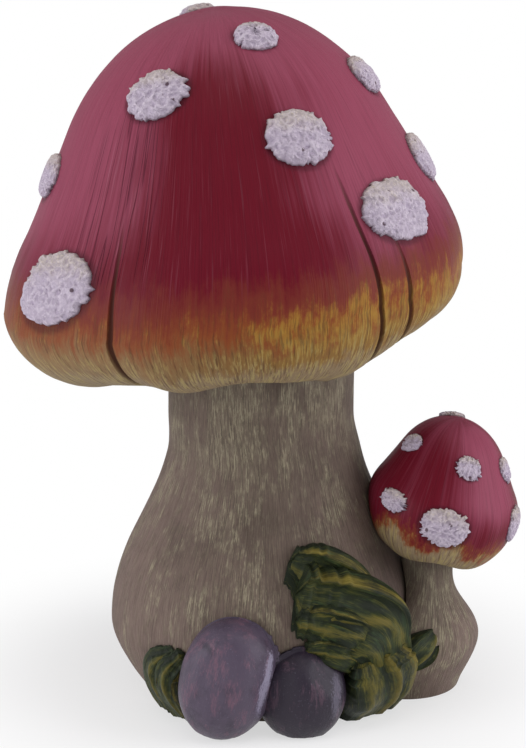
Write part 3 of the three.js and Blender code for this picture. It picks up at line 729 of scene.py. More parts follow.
def skin(name, rings, marks):
    """A closed skin through rings from the top down, each anticlockwise as seen from above.

    The first and the last ring close to a point at their middle. Marks have a value for each point, or
    one for all points.
    """
    rows, columns = rings.shape[:2]
    vertices = np.vstack([rings[0].mean(0), rings[1:-1].reshape(-1, 3), rings[-1].mean(0)])
    last = len(vertices) - 1
    base = last - columns
    faces = fan(rows - 2, columns)
    faces += [(base + i, last, base + (i + 1) % columns) for i in range(columns)]
    kept = {}
    for key, values in marks.items():
        tail = np.shape(values)[2:]
        full = np.broadcast_to(values, (rows, columns, *tail))
        ends = [full[k].mean(0, keepdims=True) for k in (0, -1)]
        kept[key] = np.concatenate([ends[0], full[1:-1].reshape(-1, *tail), ends[1]])
    return linked(name, vertices, faces, kept)


def dressed(piece, slot, *nodes):
    """Ties a finished piece to the body and hides the solids it stands for."""
    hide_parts(*nodes)
    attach(piece, "root")


def cast(node, slot, rings, marks, ridge, dent, seed):
    """A casting's piece. Ridges have a width, length and depth, and dents a size and depth."""
    piece = skin(f"{node}_skin", rings, marks)
    labels = ("Ridge Width", "Ridge Length", "Ridge Depth", "Dent Size", "Dent Depth", "Seed")
    values = {label: float(value) for label, value in zip(labels, (*ridge, *dent, seed))}
    grown_on(piece, casting_relief, {**values, "Material": finish_of(slot)})
    for vertex in piece.data.vertices:
        vertex.co.z = max(vertex.co.z, 0)
    dressed(piece, slot, node)


# Forms


class StalkForm:
    """A stalk's outer form: a straight neck over a wide belly."""

    def __init__(self, s):
        self.s = s
        drop = s.waist - s.belly_height
        waist = (s.neck, s.waist)
        belly = (s.belly, s.belly_height)
        below_waist = (s.neck, s.waist - 0.42 * drop)
        above_belly = (s.belly, s.belly_height + 0.4 * drop)
        below_belly = (s.belly, 0.66 * s.belly_height)
        above_foot = (lerp(s.foot, s.belly, 0.35), 0.2 * s.belly_height)
        upper = bezier([waist, below_waist, above_belly, belly])
        lower = bezier([belly, below_belly, above_foot, (s.foot, 0)])
        self.outline = np.vstack([upper, lower[1:]])[::-1]
        self.top = self.middle(np.array(s.height)) + (0, 0, s.height)

    def radius(self, z):
        return np.interp(z, self.outline[:, 1], self.outline[:, 0])

    def middle(self, z):
        share = smoothstep(z, self.s.sway_from, self.s.waist)
        return share[..., None] * np.array([self.s.sway, -self.s.stoop, 0])

    def at(self, bearing, z, out=0):
        rise = smoothstep(z, 0, self.s.belly_height)
        flute = self.s.flute_depth * np.cos(5 * bearing + 1) * rise
        return at_bearing(bearing, self.radius(z) + flute + out, z) + self.middle(z)

    def along(self, place, height, out):
        """A point given by its place along the belly, in millimetres from the front to the right."""
        return self.at(np.array(place / self.s.belly), np.array(float(height)), out)

    def seat(self):
        turn = Matrix.Rotation(-self.s.tilt, 4, "Y")
        return Matrix.Translation(self.top.tolist()) @ turn


class CapForm:
    """A cap's outer form about the middle of its widest ring. A place runs from apex, 0, to lip, 1."""

    def __init__(self, s, waves=()):
        self.s = s
        self.waves = waves
        r, d, c = s.radius, s.dome, s.curl
        skirt = lerp(CAP_SHOULDER, 1, 0.68)
        slope = (skirt - CAP_SHOULDER) / 3
        shoulder = (CAP_SHOULDER * r, 0.65 * d)
        below = ((CAP_SHOULDER + slope) * r, 0.53 * d)
        above = ((skirt - slope) * r, 0.4 * d)
        waist = (skirt * r, 0.28 * d)
        parts = [
            [(0, d), (0.31 * r, d), (0.54 * r, 0.83 * d), shoulder],
            [shoulder, below, above, waist],
            [waist, ((skirt + slope) * r, 0.17 * d), (r, 0.09 * d), (r, 0)],
            [(r, 0), (r, -0.55 * c), (lerp(s.lip, r, 0.5), -c), (s.lip, -c)],
        ]
        line = np.vstack([bezier(part) for part in parts])
        run = np.concatenate([[0], np.cumsum(np.hypot(*np.diff(line, axis=0).T))])
        self.line = line
        self.run = run[-1]
        self.shares = run / run[-1]

    def outline(self, place):
        return [np.interp(place, self.shares, self.line[:, axis]) for axis in (0, 1)]

    def drop(self, bearing):
        """How far the waves let the lip down."""
        total = np.zeros_like(bearing)
        for middle, spread, depth in self.waves:
            total += depth * bell(wrapped(np.degrees(bearing) - middle), spread)
        return total

    def at(self, bearing, place):
        s = self.s
        x, y = self.outline(place)
        lobe = -s.lobe_depth * np.cos(s.lobes * bearing)
        swell = lobe * smoothstep(place, 0.45, 0.9) * 0.6
        lift = s.lift * np.maximum(np.sin(bearing), 0) ** 2 * smoothstep(place, 0.72, 1)
        droop = (lobe + self.drop(bearing)) * smoothstep(place, 0.75, 1) - lift
        share = np.clip(y, 0, None) / s.dome
        lean = s.lean * share**1.5 + s.bow * np.sin(np.pi * np.minimum(share, 1) ** 0.7)
        points = at_bearing(bearing, x + swell, y - droop)
        points[..., 0] += lean
        return points

    def frame_at(self, bearing, place):
        """Directions at a point of the skin: to the right, up the slope and straight out."""
        step = 0.01
        right = unit(self.at(bearing + step, place) - self.at(bearing - step, place))
        down = self.at(bearing, np.minimum(place + step, 1)) - self.at(bearing, place - step)
        out = unit(np.cross(down, right))
        return right, np.cross(out, right), out


def small_place(s, big):
    """The middle of the small stalk's foot."""
    reach = big.belly + s.belly - s.sink
    return at_bearing(np.array(s.along / big.belly), reach, 0.0)


def cap_matrix(s, foot=(0, 0, 0)):
    """Where a cap sits: on the bond face of the stalk that stands on a foot."""
    seat = StalkForm(s).seat() @ Matrix.Translation((-s.offset, 0, s.curl - s.recess))
    return Matrix.Translation(foot) @ seat


def small_cap_matrix(s, big):
    return cap_matrix(s, small_place(s, big).tolist())


def clear_of(points, form, gap):
    """Points moved out from an upright form until they clear its skin by a gap."""
    middle = form.middle(points[..., 2])
    x = points[..., 0] - middle[..., 0]
    y = points[..., 1] - middle[..., 1]
    bearing = np.arctan2(x, -y)
    skin_points = form.at(bearing, points[..., 2], gap) - middle
    reach = np.hypot(skin_points[..., 0], skin_points[..., 1])
    inside = (np.hypot(x, y) < reach) & (points[..., 2] < form.s.height)
    cleared = points.copy()
    for axis in (0, 1):
        value = skin_points[..., axis] + middle[..., axis]
        cleared[..., axis] = np.where(inside, value, points[..., axis])
    return cleared


# Finishes


def cap_paint(p):
    """Deep red with a painted pink sheen, fine strokes from the apex, and a rust, ochre and straw rim."""
    grain = p.grain()
    hair = grain.streaks(0.45, 26, 2)
    fine = grain.streaks(1.2, 34, 3)
    broad = grain.streaks(7, 60, 2)
    cloud = p.spot().noise(28.0, 2.0)

    p.coat("cap_red")
    # Painted sheen: dusty pink over the red where the side lamps' reflection would lie.
    bloom = p.mark("bloom") + fine.swing(0.55) + broad.swing(0.6) + cloud.swing(0.5)
    p.coat("cap_sheen", bloom.between(0.15, 1.0) * 0.9)
    p.coat("cap_dark", hair.between(0.5, 0.66) * 0.22)
    # Painted sheen in pale pink streaks, stronger where the cap is scored.
    lighter = grain.shifted(31, 7, 3).streaks(0.6, 26).between(0.58, 0.72)
    p.coat("cap_gleam", lighter * (0.1 + p.mark("scored") * 0.3))

    # Scores are the thin places where a drawn-out noise passes its middle value, and their wine red is
    # painted shade in the furrows.
    drawn = grain.shifted(3, 13, 8).streaks(3.4, 90, 1)
    score = drawn.between(0.475, 0.5) * (1 - drawn.between(0.5, 0.525))
    score = score * p.mark("scored").between(0.05, 0.5)
    p.coat("cap_wine_shade", score * 0.4)

    # The rim is brushed in bands whose edges follow the strokes.
    band = p.mark("band") + fine.swing(0.06) + broad.swing(0.06) + hair.swing(0.03)
    patch = grain.shifted(8, 1, 6).streaks(5, 8, 4, 0.7)
    band = band + patch.swing(0.06 + p.mark("frayed") * 0.4)
    strokes = grain.shifted(5, 11, 17).streaks(0.8, 7, 3, 0.65)
    p.coat("cap_rust", band.between(0.66, 0.73) * 0.95)
    p.coat("cap_amber", band.between(0.72, 0.78) * 0.9)
    p.coat("cap_khaki", band.between(0.77, 0.84) * 0.9)
    p.coat("cap_beige", band.between(0.84, 0.9) * 0.9)
    p.coat("cap_beige", band.between(0.74, 0.85) * p.mark("faded"))
    near = band.between(0.73, 0.78) * (1 - band.between(0.82, 0.88))
    golden = (patch * 0.6 + strokes * 0.4 + p.mark("golden")).between(0.43, 0.67)
    p.coat("cap_ochre", near * golden * 0.65)
    lines = grain.shifted(1, 6, 2).streaks(0.7, 9, 3, 0.6)
    p.coat("cap_umber", band.between(0.68, 0.8) * (lines * 0.7 + patch * 0.3).between(0.5, 0.62) * 0.55)
    pale = (strokes * 0.75 + patch * 0.25).between(0.5, 0.58)
    p.coat("cap_straw", band.between(0.78, 0.88) * pale * 0.55)

    # Painted shade round the warts.
    p.coat("cap_dark", p.mark("shade") * 0.55)
    # Painted shade inside the splits.
    p.coat("cap_crevice_shade", p.mark("groove") * 0.85)
    height = hair * 0.5 + fine * 0.6 - score * 1.5 + strokes * band.between(0.72, 0.84) * 0.8
    rough = 0.48 + fine.swing(0.2) + band.between(0.7, 0.85) * 0.2
    return p.finish(rough, height, 0.22, 0.13)


def stalk_paint(p):
    """Grey-brown with dark lines and pale dry-brushed strokes up the stalk."""
    grain = p.grain()
    spot = p.spot()
    hair = grain.streaks(0.34, 9, 3, 0.65)
    fine = grain.shifted(3, 5, 9).streaks(0.3, 5, 3, 0.65)
    patch = spot.noise(60.0, 4.0, 0.65)
    cluster = spot.shifted(1, 1, 1).scaled(1, 1, 0.3).noise(85.0, 5.0, 0.75)
    cloud = spot.noise(17.0, 2.0)
    mottle = spot.scaled(1, 1, 0.6).noise(330.0, 4.0, 0.65)

    p.coat("stalk_brown")
    # Partly the paint's warmer brown, partly painted side light.
    p.coat("stalk_rose_and_light", p.mark("rosy") + cloud.between(0.4, 0.7) * 0.3)
    p.coat("stalk_dark", patch.between(0.42, 0.7) * 0.3)
    p.coat("stalk_dark", mottle.between(0.48, 0.7) * 0.3)
    where = (cluster + p.mark("brushed") * 0.04).between(0.47, 0.63)
    p.coat("stalk_dark", hair.between(0.47, 0.58) * (0.3 + where * 0.4))
    p.coat("stalk_khaki", where * 0.14)
    p.coat("stalk_khaki", (fine + mottle.swing(0.5)).between(0.5, 0.6) * (0.15 + where * 0.55))
    p.coat("stalk_shade", p.mark("shade") * 0.6)
    height = hair * 0.5 + fine * 0.8 + mottle * 0.4
    return p.finish(0.72 + fine.swing(0.2), height, 0.25, 0.2)


def wart_paint(p):
    """Pale lilac paste, with painted cream light at its upper edge, painted shade in its pits, between
    its grains and along its foot, and painted highlights on its ridges.
    """
    spot = p.spot()
    cloud = spot.noise(240.0, 3.0, 0.6)
    grit = spot.noise(1600.0, 2.0, 0.6)
    pit = p.mark("pit")
    voronoi = "ShaderNodeTexVoronoi"
    bent = spot.vector("SCALE", 1 + cloud * 0.02)
    grains = p.node(voronoi, {}, {"Vector": bent, "Scale": 800.0, "Detail": 1.0})
    holes = p.node(voronoi, {}, {"Vector": spot, "Scale": 190.0})

    p.coat("wart_pale")
    # Painted light from above, in cream, on the upper edge.
    p.coat("wart_top_light", (p.mark("upper") + cloud.swing(0.6)).between(0.5, 0.9) * 0.9)
    # Painted shade in the pits and between the grains.
    p.coat("wart_pit_shade", (pit + cloud.swing(1.6)).between(0.5, 1.3) * 0.45)
    p.coat("wart_pit_shade", grains.between(0.4, 0.8) * 0.35)
    # Painted highlight on the ridges between the pits.
    p.coat("wart_ridge_highlight", (1 - pit.between(0.0, 0.35)) * cloud.between(0.4, 0.6) * 0.35)
    p.coat("cap_dark", (1.0 - holes.between(0.1, 0.17)) * cloud.between(0.47, 0.52) * 0.8)
    # Painted shade along the foot of each wart.
    p.coat("wart_foot_shade", p.mark("foot") * 0.5)
    return p.finish(0.75, grit * 0.5 + cloud * 0.6 - grains * 0.7, 0.5, 0.2)


def pebble_paint(p):
    """Satin purple-grey with rose strokes, speckles, and pale scuffs on one side that are partly a
    painted highlight.
    """
    spot = p.spot()
    cloud = spot.noise(90.0, 4.0, 0.65)
    wash = spot.scaled(1, 1, 0.4).noise(190.0, 4.0, 0.7)
    hair = p.grain().streaks(0.5, 6, 3, 0.7)
    grit = spot.noise(1300.0, 3.0, 0.7)
    dim = p.mark("dim")

    p.coat("pebble_grey")
    p.coat("pebble_dark", (cloud * 2.0 + dim * 0.95).between(0.9, 1.7))
    p.coat("pebble_rose", (wash + hair.swing(0.4)).between(0.5, 0.68) * (0.75 - dim * 0.4))
    # Scuffs along the ridge, partly a painted highlight on that facet.
    scuff = (p.mark("scuffed") + hair.swing(1.6) + grit.swing(1.2)).between(0.35, 0.95)
    p.coat("pebble_scuff_and_highlight", scuff * (0.85 - dim * 0.6))
    p.coat("pebble_scuff_and_highlight", grit.between(0.6, 0.75) * 0.2)
    height = hair * 0.5 + grit * 0.4 + cloud * 0.8
    return p.finish(0.42 + wash.swing(0.3), height, 0.3, 0.35)


def leaf_paint(p):
    """Dark green in the folds, partly painted shade, with olive and yellow dry-brushed over the raised
    folds and edges, partly painted highlights.
    """
    grain = p.grain()
    cloud = p.spot().noise(150.0, 4.0, 0.65)
    hair = grain.streaks(0.45, 8, 3, 0.65)
    dabs = grain.shifted(4, 8, 3).streaks(1.8, 7, 3, 0.65)
    crest = p.mark("crest") * 0.7
    rim = p.mark("rim")
    uneven = cloud.swing(1.3) + dabs.swing(1.4) + hair.swing(1.1)

    # The dark green that stays in the folds is partly painted shade, and the olive and yellow on the
    # crests and the upper edge are partly painted highlights.
    p.coat("leaf_dark")
    p.coat("leaf_green", (crest + uneven).between(-0.1, 0.8))
    olive = (crest + rim * 0.4 + p.mark("golden") + uneven * 0.6).between(0.3, 1.0)
    p.coat("leaf_olive", olive * 0.75)
    p.coat("leaf_moss", grain.shifted(9, 3, 7).streaks(1.4, 10, 2).between(0.58, 0.7) * 0.35)
    p.coat("leaf_gold", (rim + uneven * 0.9).between(0.7, 1.8) * 0.65)
    p.coat("leaf_gold", (hair * 0.6 + dabs * 0.4).between(0.54, 0.66) * 0.15)
    height = hair * 0.6 + dabs * 0.7 + cloud * 0.6
    return p.finish(0.55 + cloud.swing(0.2), height, 0.4, 0.25)


def base_paint(p):
    """Bare resin with dark patches."""
    spot = p.spot()
    p.coat("base_resin")
    p.coat("base_dark", spot.noise(60.0, 3.0, 0.6).between(0.35, 0.7))
    return p.finish(0.85, spot.noise(900.0, 2.0, 0.6), 0.15, 0.3)


FINISHES = {
    "cap_red": cap_paint,
    "stalk_brown": stalk_paint,
    "wart_white": wart_paint,
    "pebble_purple": pebble_paint,
    "leaf_green": leaf_paint,
    "base_resin": base_paint,
}


def finish_of(slot):
    """The material for a slot, made the first time that it is asked for."""
    name = f"{slot}_paint"
    return bpy.data.materials.get(name) or FINISHES[slot](Paint(name))


# Pieces


def columns_near(bearings, number):
    """Bearings in degrees round a cap, closer together near the given ones."""
    fine = np.linspace(-180, 180, 7201)[:-1]
    weight = np.ones_like(fine)
    for bearing in bearings:
        weight += 7 * bell(wrapped(fine - bearing), 1.8)
    run = np.concatenate([[0], np.cumsum(weight)])
    return np.interp(np.arange(number) * run[-1] / number, run, np.append(fine, 180))


def under_cap(s):
    """Heights and radii that a cap's underside and its gills share: bond face, collar and step."""
    collar = s.neck + s.flute_depth
    return s.recess - s.curl, collar, (s.lip - collar) / 4


def cap_skin(form, splits, warts, grid):
    """A cap's whole skin: the outside with its splits, and the hollow underside round the collar.

    Returns the rings, their marks, and the place and the bearing in degrees of every point.
    """
    s = form.s
    rows, columns = grid
    bearing = repeated(columns_near([row[0] for row in splits], columns), rows)
    place = widened(np.linspace(0, 1, rows), columns)
    reach = form.outline(place)[0]
    groove, sunk, pull, hold, shade = (np.zeros_like(place) for _ in range(5))
    for split_bearing, lean, start in splits:
        share = np.clip((1 - place) / (1 - start), 0, 1)
        growth = (1 - share) ** 0.8
        away = wrapped(bearing - split_bearing)
        across = np.radians(away) * reach
        half = s.split_width * (0.14 + 0.26 * growth)
        notch = growth**0.5 * np.clip(1.25 - np.abs(across) / half, 0, 1) * (share < 1)
        groove = np.maximum(groove, smoothstep(notch, 0.05, 0.6))
        # The skin rolls into the split from its right side and stands a little proud on its left.
        dip = growth * bell(across - 2, 6)
        sunk += 0.8 * s.split_depth * notch * growth**0.5 + dip
        near = bell(away, 14)
        pull += lean * share * near
        hold += near
    turned = np.radians(bearing + pull / np.maximum(hold, 1))
    # The skin has no clear direction at the apex itself, so it is taken from just below.
    out = form.frame_at(turned, np.clip(place, 0.011, 1))[2]
    points = form.at(turned, place) - out * (sunk + CAP_INSET)[..., None]

    # Painted shade: the red is darker close round each wart.
    for wart_bearing, wart_place, across, along, turn in warts:
        u = np.radians(wrapped(np.degrees(turned) - wart_bearing)) * reach
        v = (wart_place - place) * form.run + 0.035 * along
        c, w = cos_sin(turn)
        gap = np.hypot((u * c + v * w) / across, (v * c - u * w) / along) * 2
        shade = np.maximum(shade, 1 - smoothstep(gap, 1.0, 1.16))

    # The underside steps in from the lip and runs level to the collar.
    bond, collar, step = under_cap(s)
    closed = bond + 0.1
    profile = [
        (s.lip - step, 0, 0.12 * s.recess - s.curl),
        (s.lip - 1.7 * step, 0.25, bond + 0.5 * s.gill_depth),
        (collar + 0.5 * step, 0.9, bond + s.gill_depth),
        (collar, 1, closed),
        (collar * 0.5, 1, closed),
        (0, 1, closed),
    ]
    inner = [points[-1]]
    shares = (0.3, 0.65)
    for radius, share, z in profile:
        ring = at_bearing(turned[-1], radius, z - form.drop(turned[-1]) * (1 - share) ** 3)
        ring[:, 0] += share * s.offset
        inner += [lerp(inner[-1], ring, t) for t in shares] + [ring]
        shares = (0.33, 0.67)
    rings = np.concatenate([points, np.array(inner[1:])])
    under = len(inner) - 1

    below = np.concatenate([place, widened(np.linspace(1, 1.25, under), columns)])
    around = np.concatenate([turned, repeated(turned[-1], under)])
    marks = {"groove": groove, "shade": shade, "relief": smoothstep(place, 0, 0.05)}
    marks = {key: np.vstack([values, np.zeros((under, columns))]) for key, values in marks.items()}
    marks["grain"] = at_bearing(around, s.radius, below * form.run)
    return rings, marks, below, wrapped(np.degrees(around))


def gills_of(cap, form, matrix):
    """Makes the ring of gills under a cap."""
    s = form.s
    bond, collar, step = under_cap(s)
    # One gill runs along X from 0 to 1, hangs down from 0 to -1 and is thickest at its root.
    stations = np.linspace(0, 1, 10)
    hang = 0.25 + 0.75 * np.sin(np.pi * np.clip(stations * 0.9 + 0.1, 0, 1)) ** 0.6
    section = np.array([(-0.5, 0.4), (-0.3, -0.6), (0, -1), (0.3, -0.6), (0.5, 0.4)])
    rings = [[(x, y, z * h) for y, z in section] for x, h in zip(stations, hang)]
    vertices = np.array(rings).reshape(-1, 3) / MM
    n = len(section)
    last = (len(stations) - 1) * n
    faces = []
    for a in range(0, last, n):
        b = a + n
        faces += [(a + i, a + (i + 1) % n, b + (i + 1) % n, b + i) for i in range(n)]
    faces += [tuple(range(n))[::-1], tuple(range(last, last + n))]
    gill = linked(f"{cap}_gill", vertices, faces)
    host = linked(f"{cap}_gills", [(0, 0, 0)], [])
    lengths = {
        "Lip Radius": s.lip - 1.2 * step,
        "Collar Radius": collar + 0.6,
        "Collar Offset": s.offset,
        "Height": bond + 0.9 * s.gill_depth,
        "Depth": 1.15 * s.gill_depth,
        "Thickness": 0.35 * 2 * math.pi * collar / s.gills,
    }
    values = {label: value * MM for label, value in lengths.items()}
    values.update({"Gill": gill, "Count": s.gills, "Material": finish_of("cap_red")})
    grown_on(host, gills_under_cap, values)
    place = matrix.copy()
    place.translation *= MM
    host.data.transform(place)
    bpy.data.objects.remove(gill)
    dressed(host, "cap_red", cap)


def cake():
    """The cake that every wart is grown from: flat, facing +Z, with a radius of one metre."""
    rows, columns = GRIDS["wart"]
    spokes = circle(columns)
    top = np.linspace(0, 1, rows)
    rise = (1 - top**9) ** 0.5 * (1 - 0.2 * top**2)
    radii = np.concatenate([top, [0.97, 0.9, 0.5, 0]])
    heights = np.concatenate([rise, [-0.02, -0.03, -0.03, -0.03]])
    spoke = np.stack([np.cos(spokes), np.sin(spokes), 0 * spokes], -1)
    rings = radii[:, None, None] * spoke
    full = widened(radii, columns)
    upper_side = widened(np.arange(len(radii)) < rows, columns)
    marks = {
        "rise": widened(heights, columns),
        "edge": smoothstep(full, 0.25, 1.0),
        "open": (1 - smoothstep(full, 0.93, 1.0)) * upper_side,
        # Marks the rim, for the painted shade along the foot.
        "foot": smoothstep(full, 0.965, 1.0),
        "spoke": repeated(spoke, len(radii)),
        # Grows up the slope, for the painted light on the upper edge.
        "upper": rings[..., 1] * 0.5 + 0.5,
    }
    return skin("cake", rings / MM, marks)


def warts_of(cap, name, form, matrix, rows, thickness, pit_share, drips):
    """Makes all the warts on one cap, grown from points that lie on its skin."""
    r = sizes("relief")
    points, facing, size = [], [], []
    for bearing, place, across, along, turn in rows:
        spot = (np.array(math.radians(bearing)), np.array(place))
        right, up, out = form.frame_at(*spot)
        c, w = cos_sin(turn)
        axes = [right * c + up * w, up * c - right * w, out]
        whole = matrix @ to_matrix(axes, form.at(*spot))
        points.append(list(whole.translation))
        facing.append(list(whole.to_euler("XYZ")))
        size.append((0.5 * across * MM, 0.5 * along * MM, 1))
    middle = np.array(points) * MM
    marks = {"facing": np.array(facing), "size": np.array(size), "middle": middle}
    marks["seed"] = np.arange(len(rows)) + 1.0
    host = linked(f"{name}_warts", points, [], marks)
    unit_cake = cake()
    values = {
        "Cap": bpy.data.objects[f"{cap}_skin"],
        "Cake": unit_cake,
        "Thickness": thickness * MM,
        "Sink": 0.1 * MM,
        "Drips": drips,
        "Pit Size": r.pit_size * MM * pit_share,
        "Pit Depth": r.pit_depth * MM * pit_share,
        "Material": finish_of("wart_white"),
    }
    grown_on(host, warts_on_cap, values)
    bpy.data.objects.remove(unit_cake)
    dressed(host, "wart_white", *[f"{name}_wart_{i + 1}" for i in range(len(rows))])


def stalk_skin(form, grid, underside):
    """A stalk's skin from under its cap to its foot, brushed up its length, with its underside."""
    s = form.s
    rows, columns = grid
    top = s.height - BOND_INSET
    upper = rows // 4
    neck = np.linspace(s.height, s.waist, upper)
    body = np.linspace(s.waist, 0.6, rows - upper)[1:]
    heights = np.concatenate([neck, body, [0.25, 0.0]])
    b = repeated(circle(columns), len(heights))
    z = widened(heights, columns)
    points = form.at(b, z, -STALK_INSET)
    # The top rings follow the tilted bond face.
    face = top + math.tan(s.tilt) * (points[..., 0] - form.top[0])
    share = smoothstep(z, s.waist, s.height)
    level = points[..., 2] * (1 - share) + share * (face - (s.height - z))
    points[..., 2] = np.minimum(level, face)

    closing = form.middle(np.array(s.height)) + (0, 0, top)
    closed = np.broadcast_to(closing, (1, columns, 3))
    foot = np.array([at_bearing(b[0], radius, height) for radius, height in underside])
    rings = np.concatenate([closed, points, foot])
    zz = np.concatenate([z[:1], z, np.full((len(foot), columns), -2.0)])
    bb = np.concatenate([b[:1], b, repeated(b[0], len(foot))])
    marks = {
        "grain": at_bearing(bb, s.belly * 0.75, -zz),
        "relief": smoothstep(zz, 0.3, 3.0) * (1 - smoothstep(zz, s.height - 6, s.height - 1)),
        "brushed": smoothstep(zz, 0.35 * s.height, 0.8 * s.height),
        # Warmer and lighter at the sides, low on the stalk: partly the paint, partly painted side light.
        "rosy": 0.8 * np.abs(np.sin(bb)) * (1 - smoothstep(zz, 0.5 * s.height, 0.9 * s.height)),
    }
    return rings, marks


def leaf_skin(form, row, fan):
    """A thick leaf over its spine, with a torn tip, folds along it and a raised upper edge."""
    width, crown, blunt, folds, spine = row
    rows, columns = GRIDS["leaf"]
    curve = catmull(np.array([form.along(*point) for point in spine]), 240)
    t = np.concatenate([[0], np.linspace(0.03, 0.97, rows), [1]])
    run = np.linspace(0, 1, len(curve))
    middle = np.stack([np.interp(t, run, curve[:, k]) for k in range(3)], -1)
    out = unit(middle * (1, 1, 0))
    side = unit(np.cross(unit(np.gradient(middle, axis=0)), out))
    share = np.sin(np.pi * t) ** (1 - blunt * 0.8 if blunt else 1.5)
    torn = blunt * (0.07 * np.sin(61 * t + folds) + 0.05 * np.sin(97 * t + 3 * folds))
    share = np.maximum(share, blunt * smoothstep(t, 0, 0.05))
    share *= 1 + torn * (1 - smoothstep(t, 0.1, 0.5))
    share[[0, -1]] = 0
    around = circle(columns)
    x, y = np.cos(around)[None, :], np.sin(around)[None, :]
    t = t[:, None]

    # The folds sweep over the leaf and are uneven, but those of a fan run straight.
    bend = 0.06 * np.sin(5 * t) if fan else 0.7 * (t - 0.5) + 0.12 * np.sin(7 * t + 2 * folds)
    phase = 2 * np.pi * folds * (x + bend) + 0.6
    crest = np.clip(0.5 + 0.38 * np.cos(phase) + 0.2 * np.sin(1.7 * phase + 3 * t), 0, 1) ** 0.8
    wave = 0.04 * np.sin(9 * t + folds)
    ridge = 0 if fan else bell(x + 0.78 + wave, 0.14)
    hollow = 0 if fan else bell(x + 0.45 + wave, 0.2)
    folded = 0.36 * ridge - 0.24 * hollow + (0.42 if fan else 0.28) * (crest - 0.7)
    fade = 1 if blunt else smoothstep(np.sin(np.pi * t), 0.3, 0.9)
    face = 0.9 - 0.26 * x + folded * fade
    front = np.clip(y, 0, 1) ** 0.7
    depth = 14 if blunt else 5 + 9 * t  # a pointed leaf thins towards its free tip
    height = np.where(y > 0, crown * front * face, depth * y)
    aside = (0.5 * width * share[:, None] * x)[..., None]
    proud = (share[:, None] * height)[..., None]
    points = middle[:, None, :] + side[:, None, :] * aside + out[:, None, :] * proud

    # The upper edge is marked for its yellow, partly a painted highlight.
    upper = bell(x + 0.86 + wave, 0.16 if fan else 0.1) * smoothstep(y, 0.0, 0.2)
    marks = {
        "crest": crest * front,
        "rim": upper * smoothstep(np.sin(np.pi * t), 0.05, 0.5),
        "golden": 0.2 if fan else 0.05,
        "grain": np.stack(np.broadcast_arrays(x * width / 2, y * crown, t * 45), -1),
        "relief": np.clip(y, 0, 1),
    }
    return points, marks


def stone_skin(form, row, facets):
    """A rounded stone with flat faces worn on it."""
    along, height, out, radii, lean, seed, dim = row
    rows, columns = GRIDS["pebble"]
    place = at_bearing(np.array(along / form.s.belly), form.s.belly + out, height)
    polar = np.linspace(0, np.pi, rows)[:, None]
    azimuth = circle(columns)[None, :]
    lump = 1 + 0.025 * np.cos(2 * azimuth + seed) * np.sin(polar) - 0.004
    ball = at_bearing(azimuth, np.sin(polar) ** 0.9, np.cos(polar))
    softness = 0.04
    for facing, reach in facets:
        normal = unit(np.array(facing))
        worn = softness * np.log1p(np.exp((ball @ normal - reach) / softness))
        ball = ball - 0.85 * worn[..., None] * normal
    local = ball * lump[..., None] * np.array(radii)
    turn = Matrix.Rotation(math.radians(lean), 3, "Y")
    points = local @ np.array(turn).T + place
    x, y, z = np.moveaxis(ball, -1, 0)
    # A pale strip down the right side: scuffs along the ridge and a painted highlight on the facet there.
    strip = bell(x - 0.76, 0.13) * smoothstep(-y, 0.1, 0.4)
    marks = {"grain": local, "relief": 1.0, "dim": dim, "scuffed": strip * smoothstep(z, -0.8, 0.1)}
    return points, marks


def bedded(rings, form, gap):
    """Rings that clear the large stalk and stay above the ground."""
    cleared = clear_of(rings, form, gap)
    cleared[..., 2] = np.maximum(cleared[..., 2], 0)
    return cleared


# Operators


class MakeLargeStalk(bpy.types.Operator):
    """Makes the large stalk with its brushed skin and the step for the base plate"""

    bl_idname = "toadstool.large_stalk"
    bl_label = "Large stalk"

    def execute(self, context):
        s, r = sizes("large"), sizes("relief")
        ledge, top = s.foot - PLATE_STEP, PLATE_ROOM
        underside = [(ledge, 0), (ledge, 2.2), (ledge, top), (ledge - 6, top), (0, top)]
        rings, marks = stalk_skin(StalkForm(s), GRIDS["large_stalk"], underside)
        place = small_place(sizes("small"), s)
        gap = np.hypot(rings[..., 0] - place[0], rings[..., 1] - place[1])
        near = 1 - smoothstep(gap, 24, 38)
        marks["shade"] = near * (1 - smoothstep(rings[..., 2], 40, 80)) * 0.7
        ridge = (r.ridge_width, 26, r.ridge_depth)
        cast("main_stalk", "stalk_brown", rings, marks, ridge, (r.dent_size, r.dent_depth), SEED + 1)
        return {"FINISHED"}


class MakeSmallStalk(bpy.types.Operator):
    """Makes the small stalk, fitted against the belly of the large one"""

    bl_idname = "toadstool.small_stalk"
    bl_label = "Small stalk"

    def execute(self, context):
        s, big, r = sizes("small"), sizes("large"), sizes("relief")
        underside = [(s.foot - 1, 0), (s.foot * 0.5, 0), (0, 0)]
        rings, marks = stalk_skin(StalkForm(s), GRIDS["small_stalk"], underside)
        rings = clear_of(rings + small_place(s, big), StalkForm(big), r.bond_gap)
        marks["shade"] = 0.0
        ridge = (0.7 * r.ridge_width, 18, 0.6 * r.ridge_depth)
        dent = (0.8 * r.dent_size, 0.6 * r.dent_depth)
        cast("small_stalk", "stalk_brown", rings, marks, ridge, dent, SEED + 2)
        return {"FINISHED"}


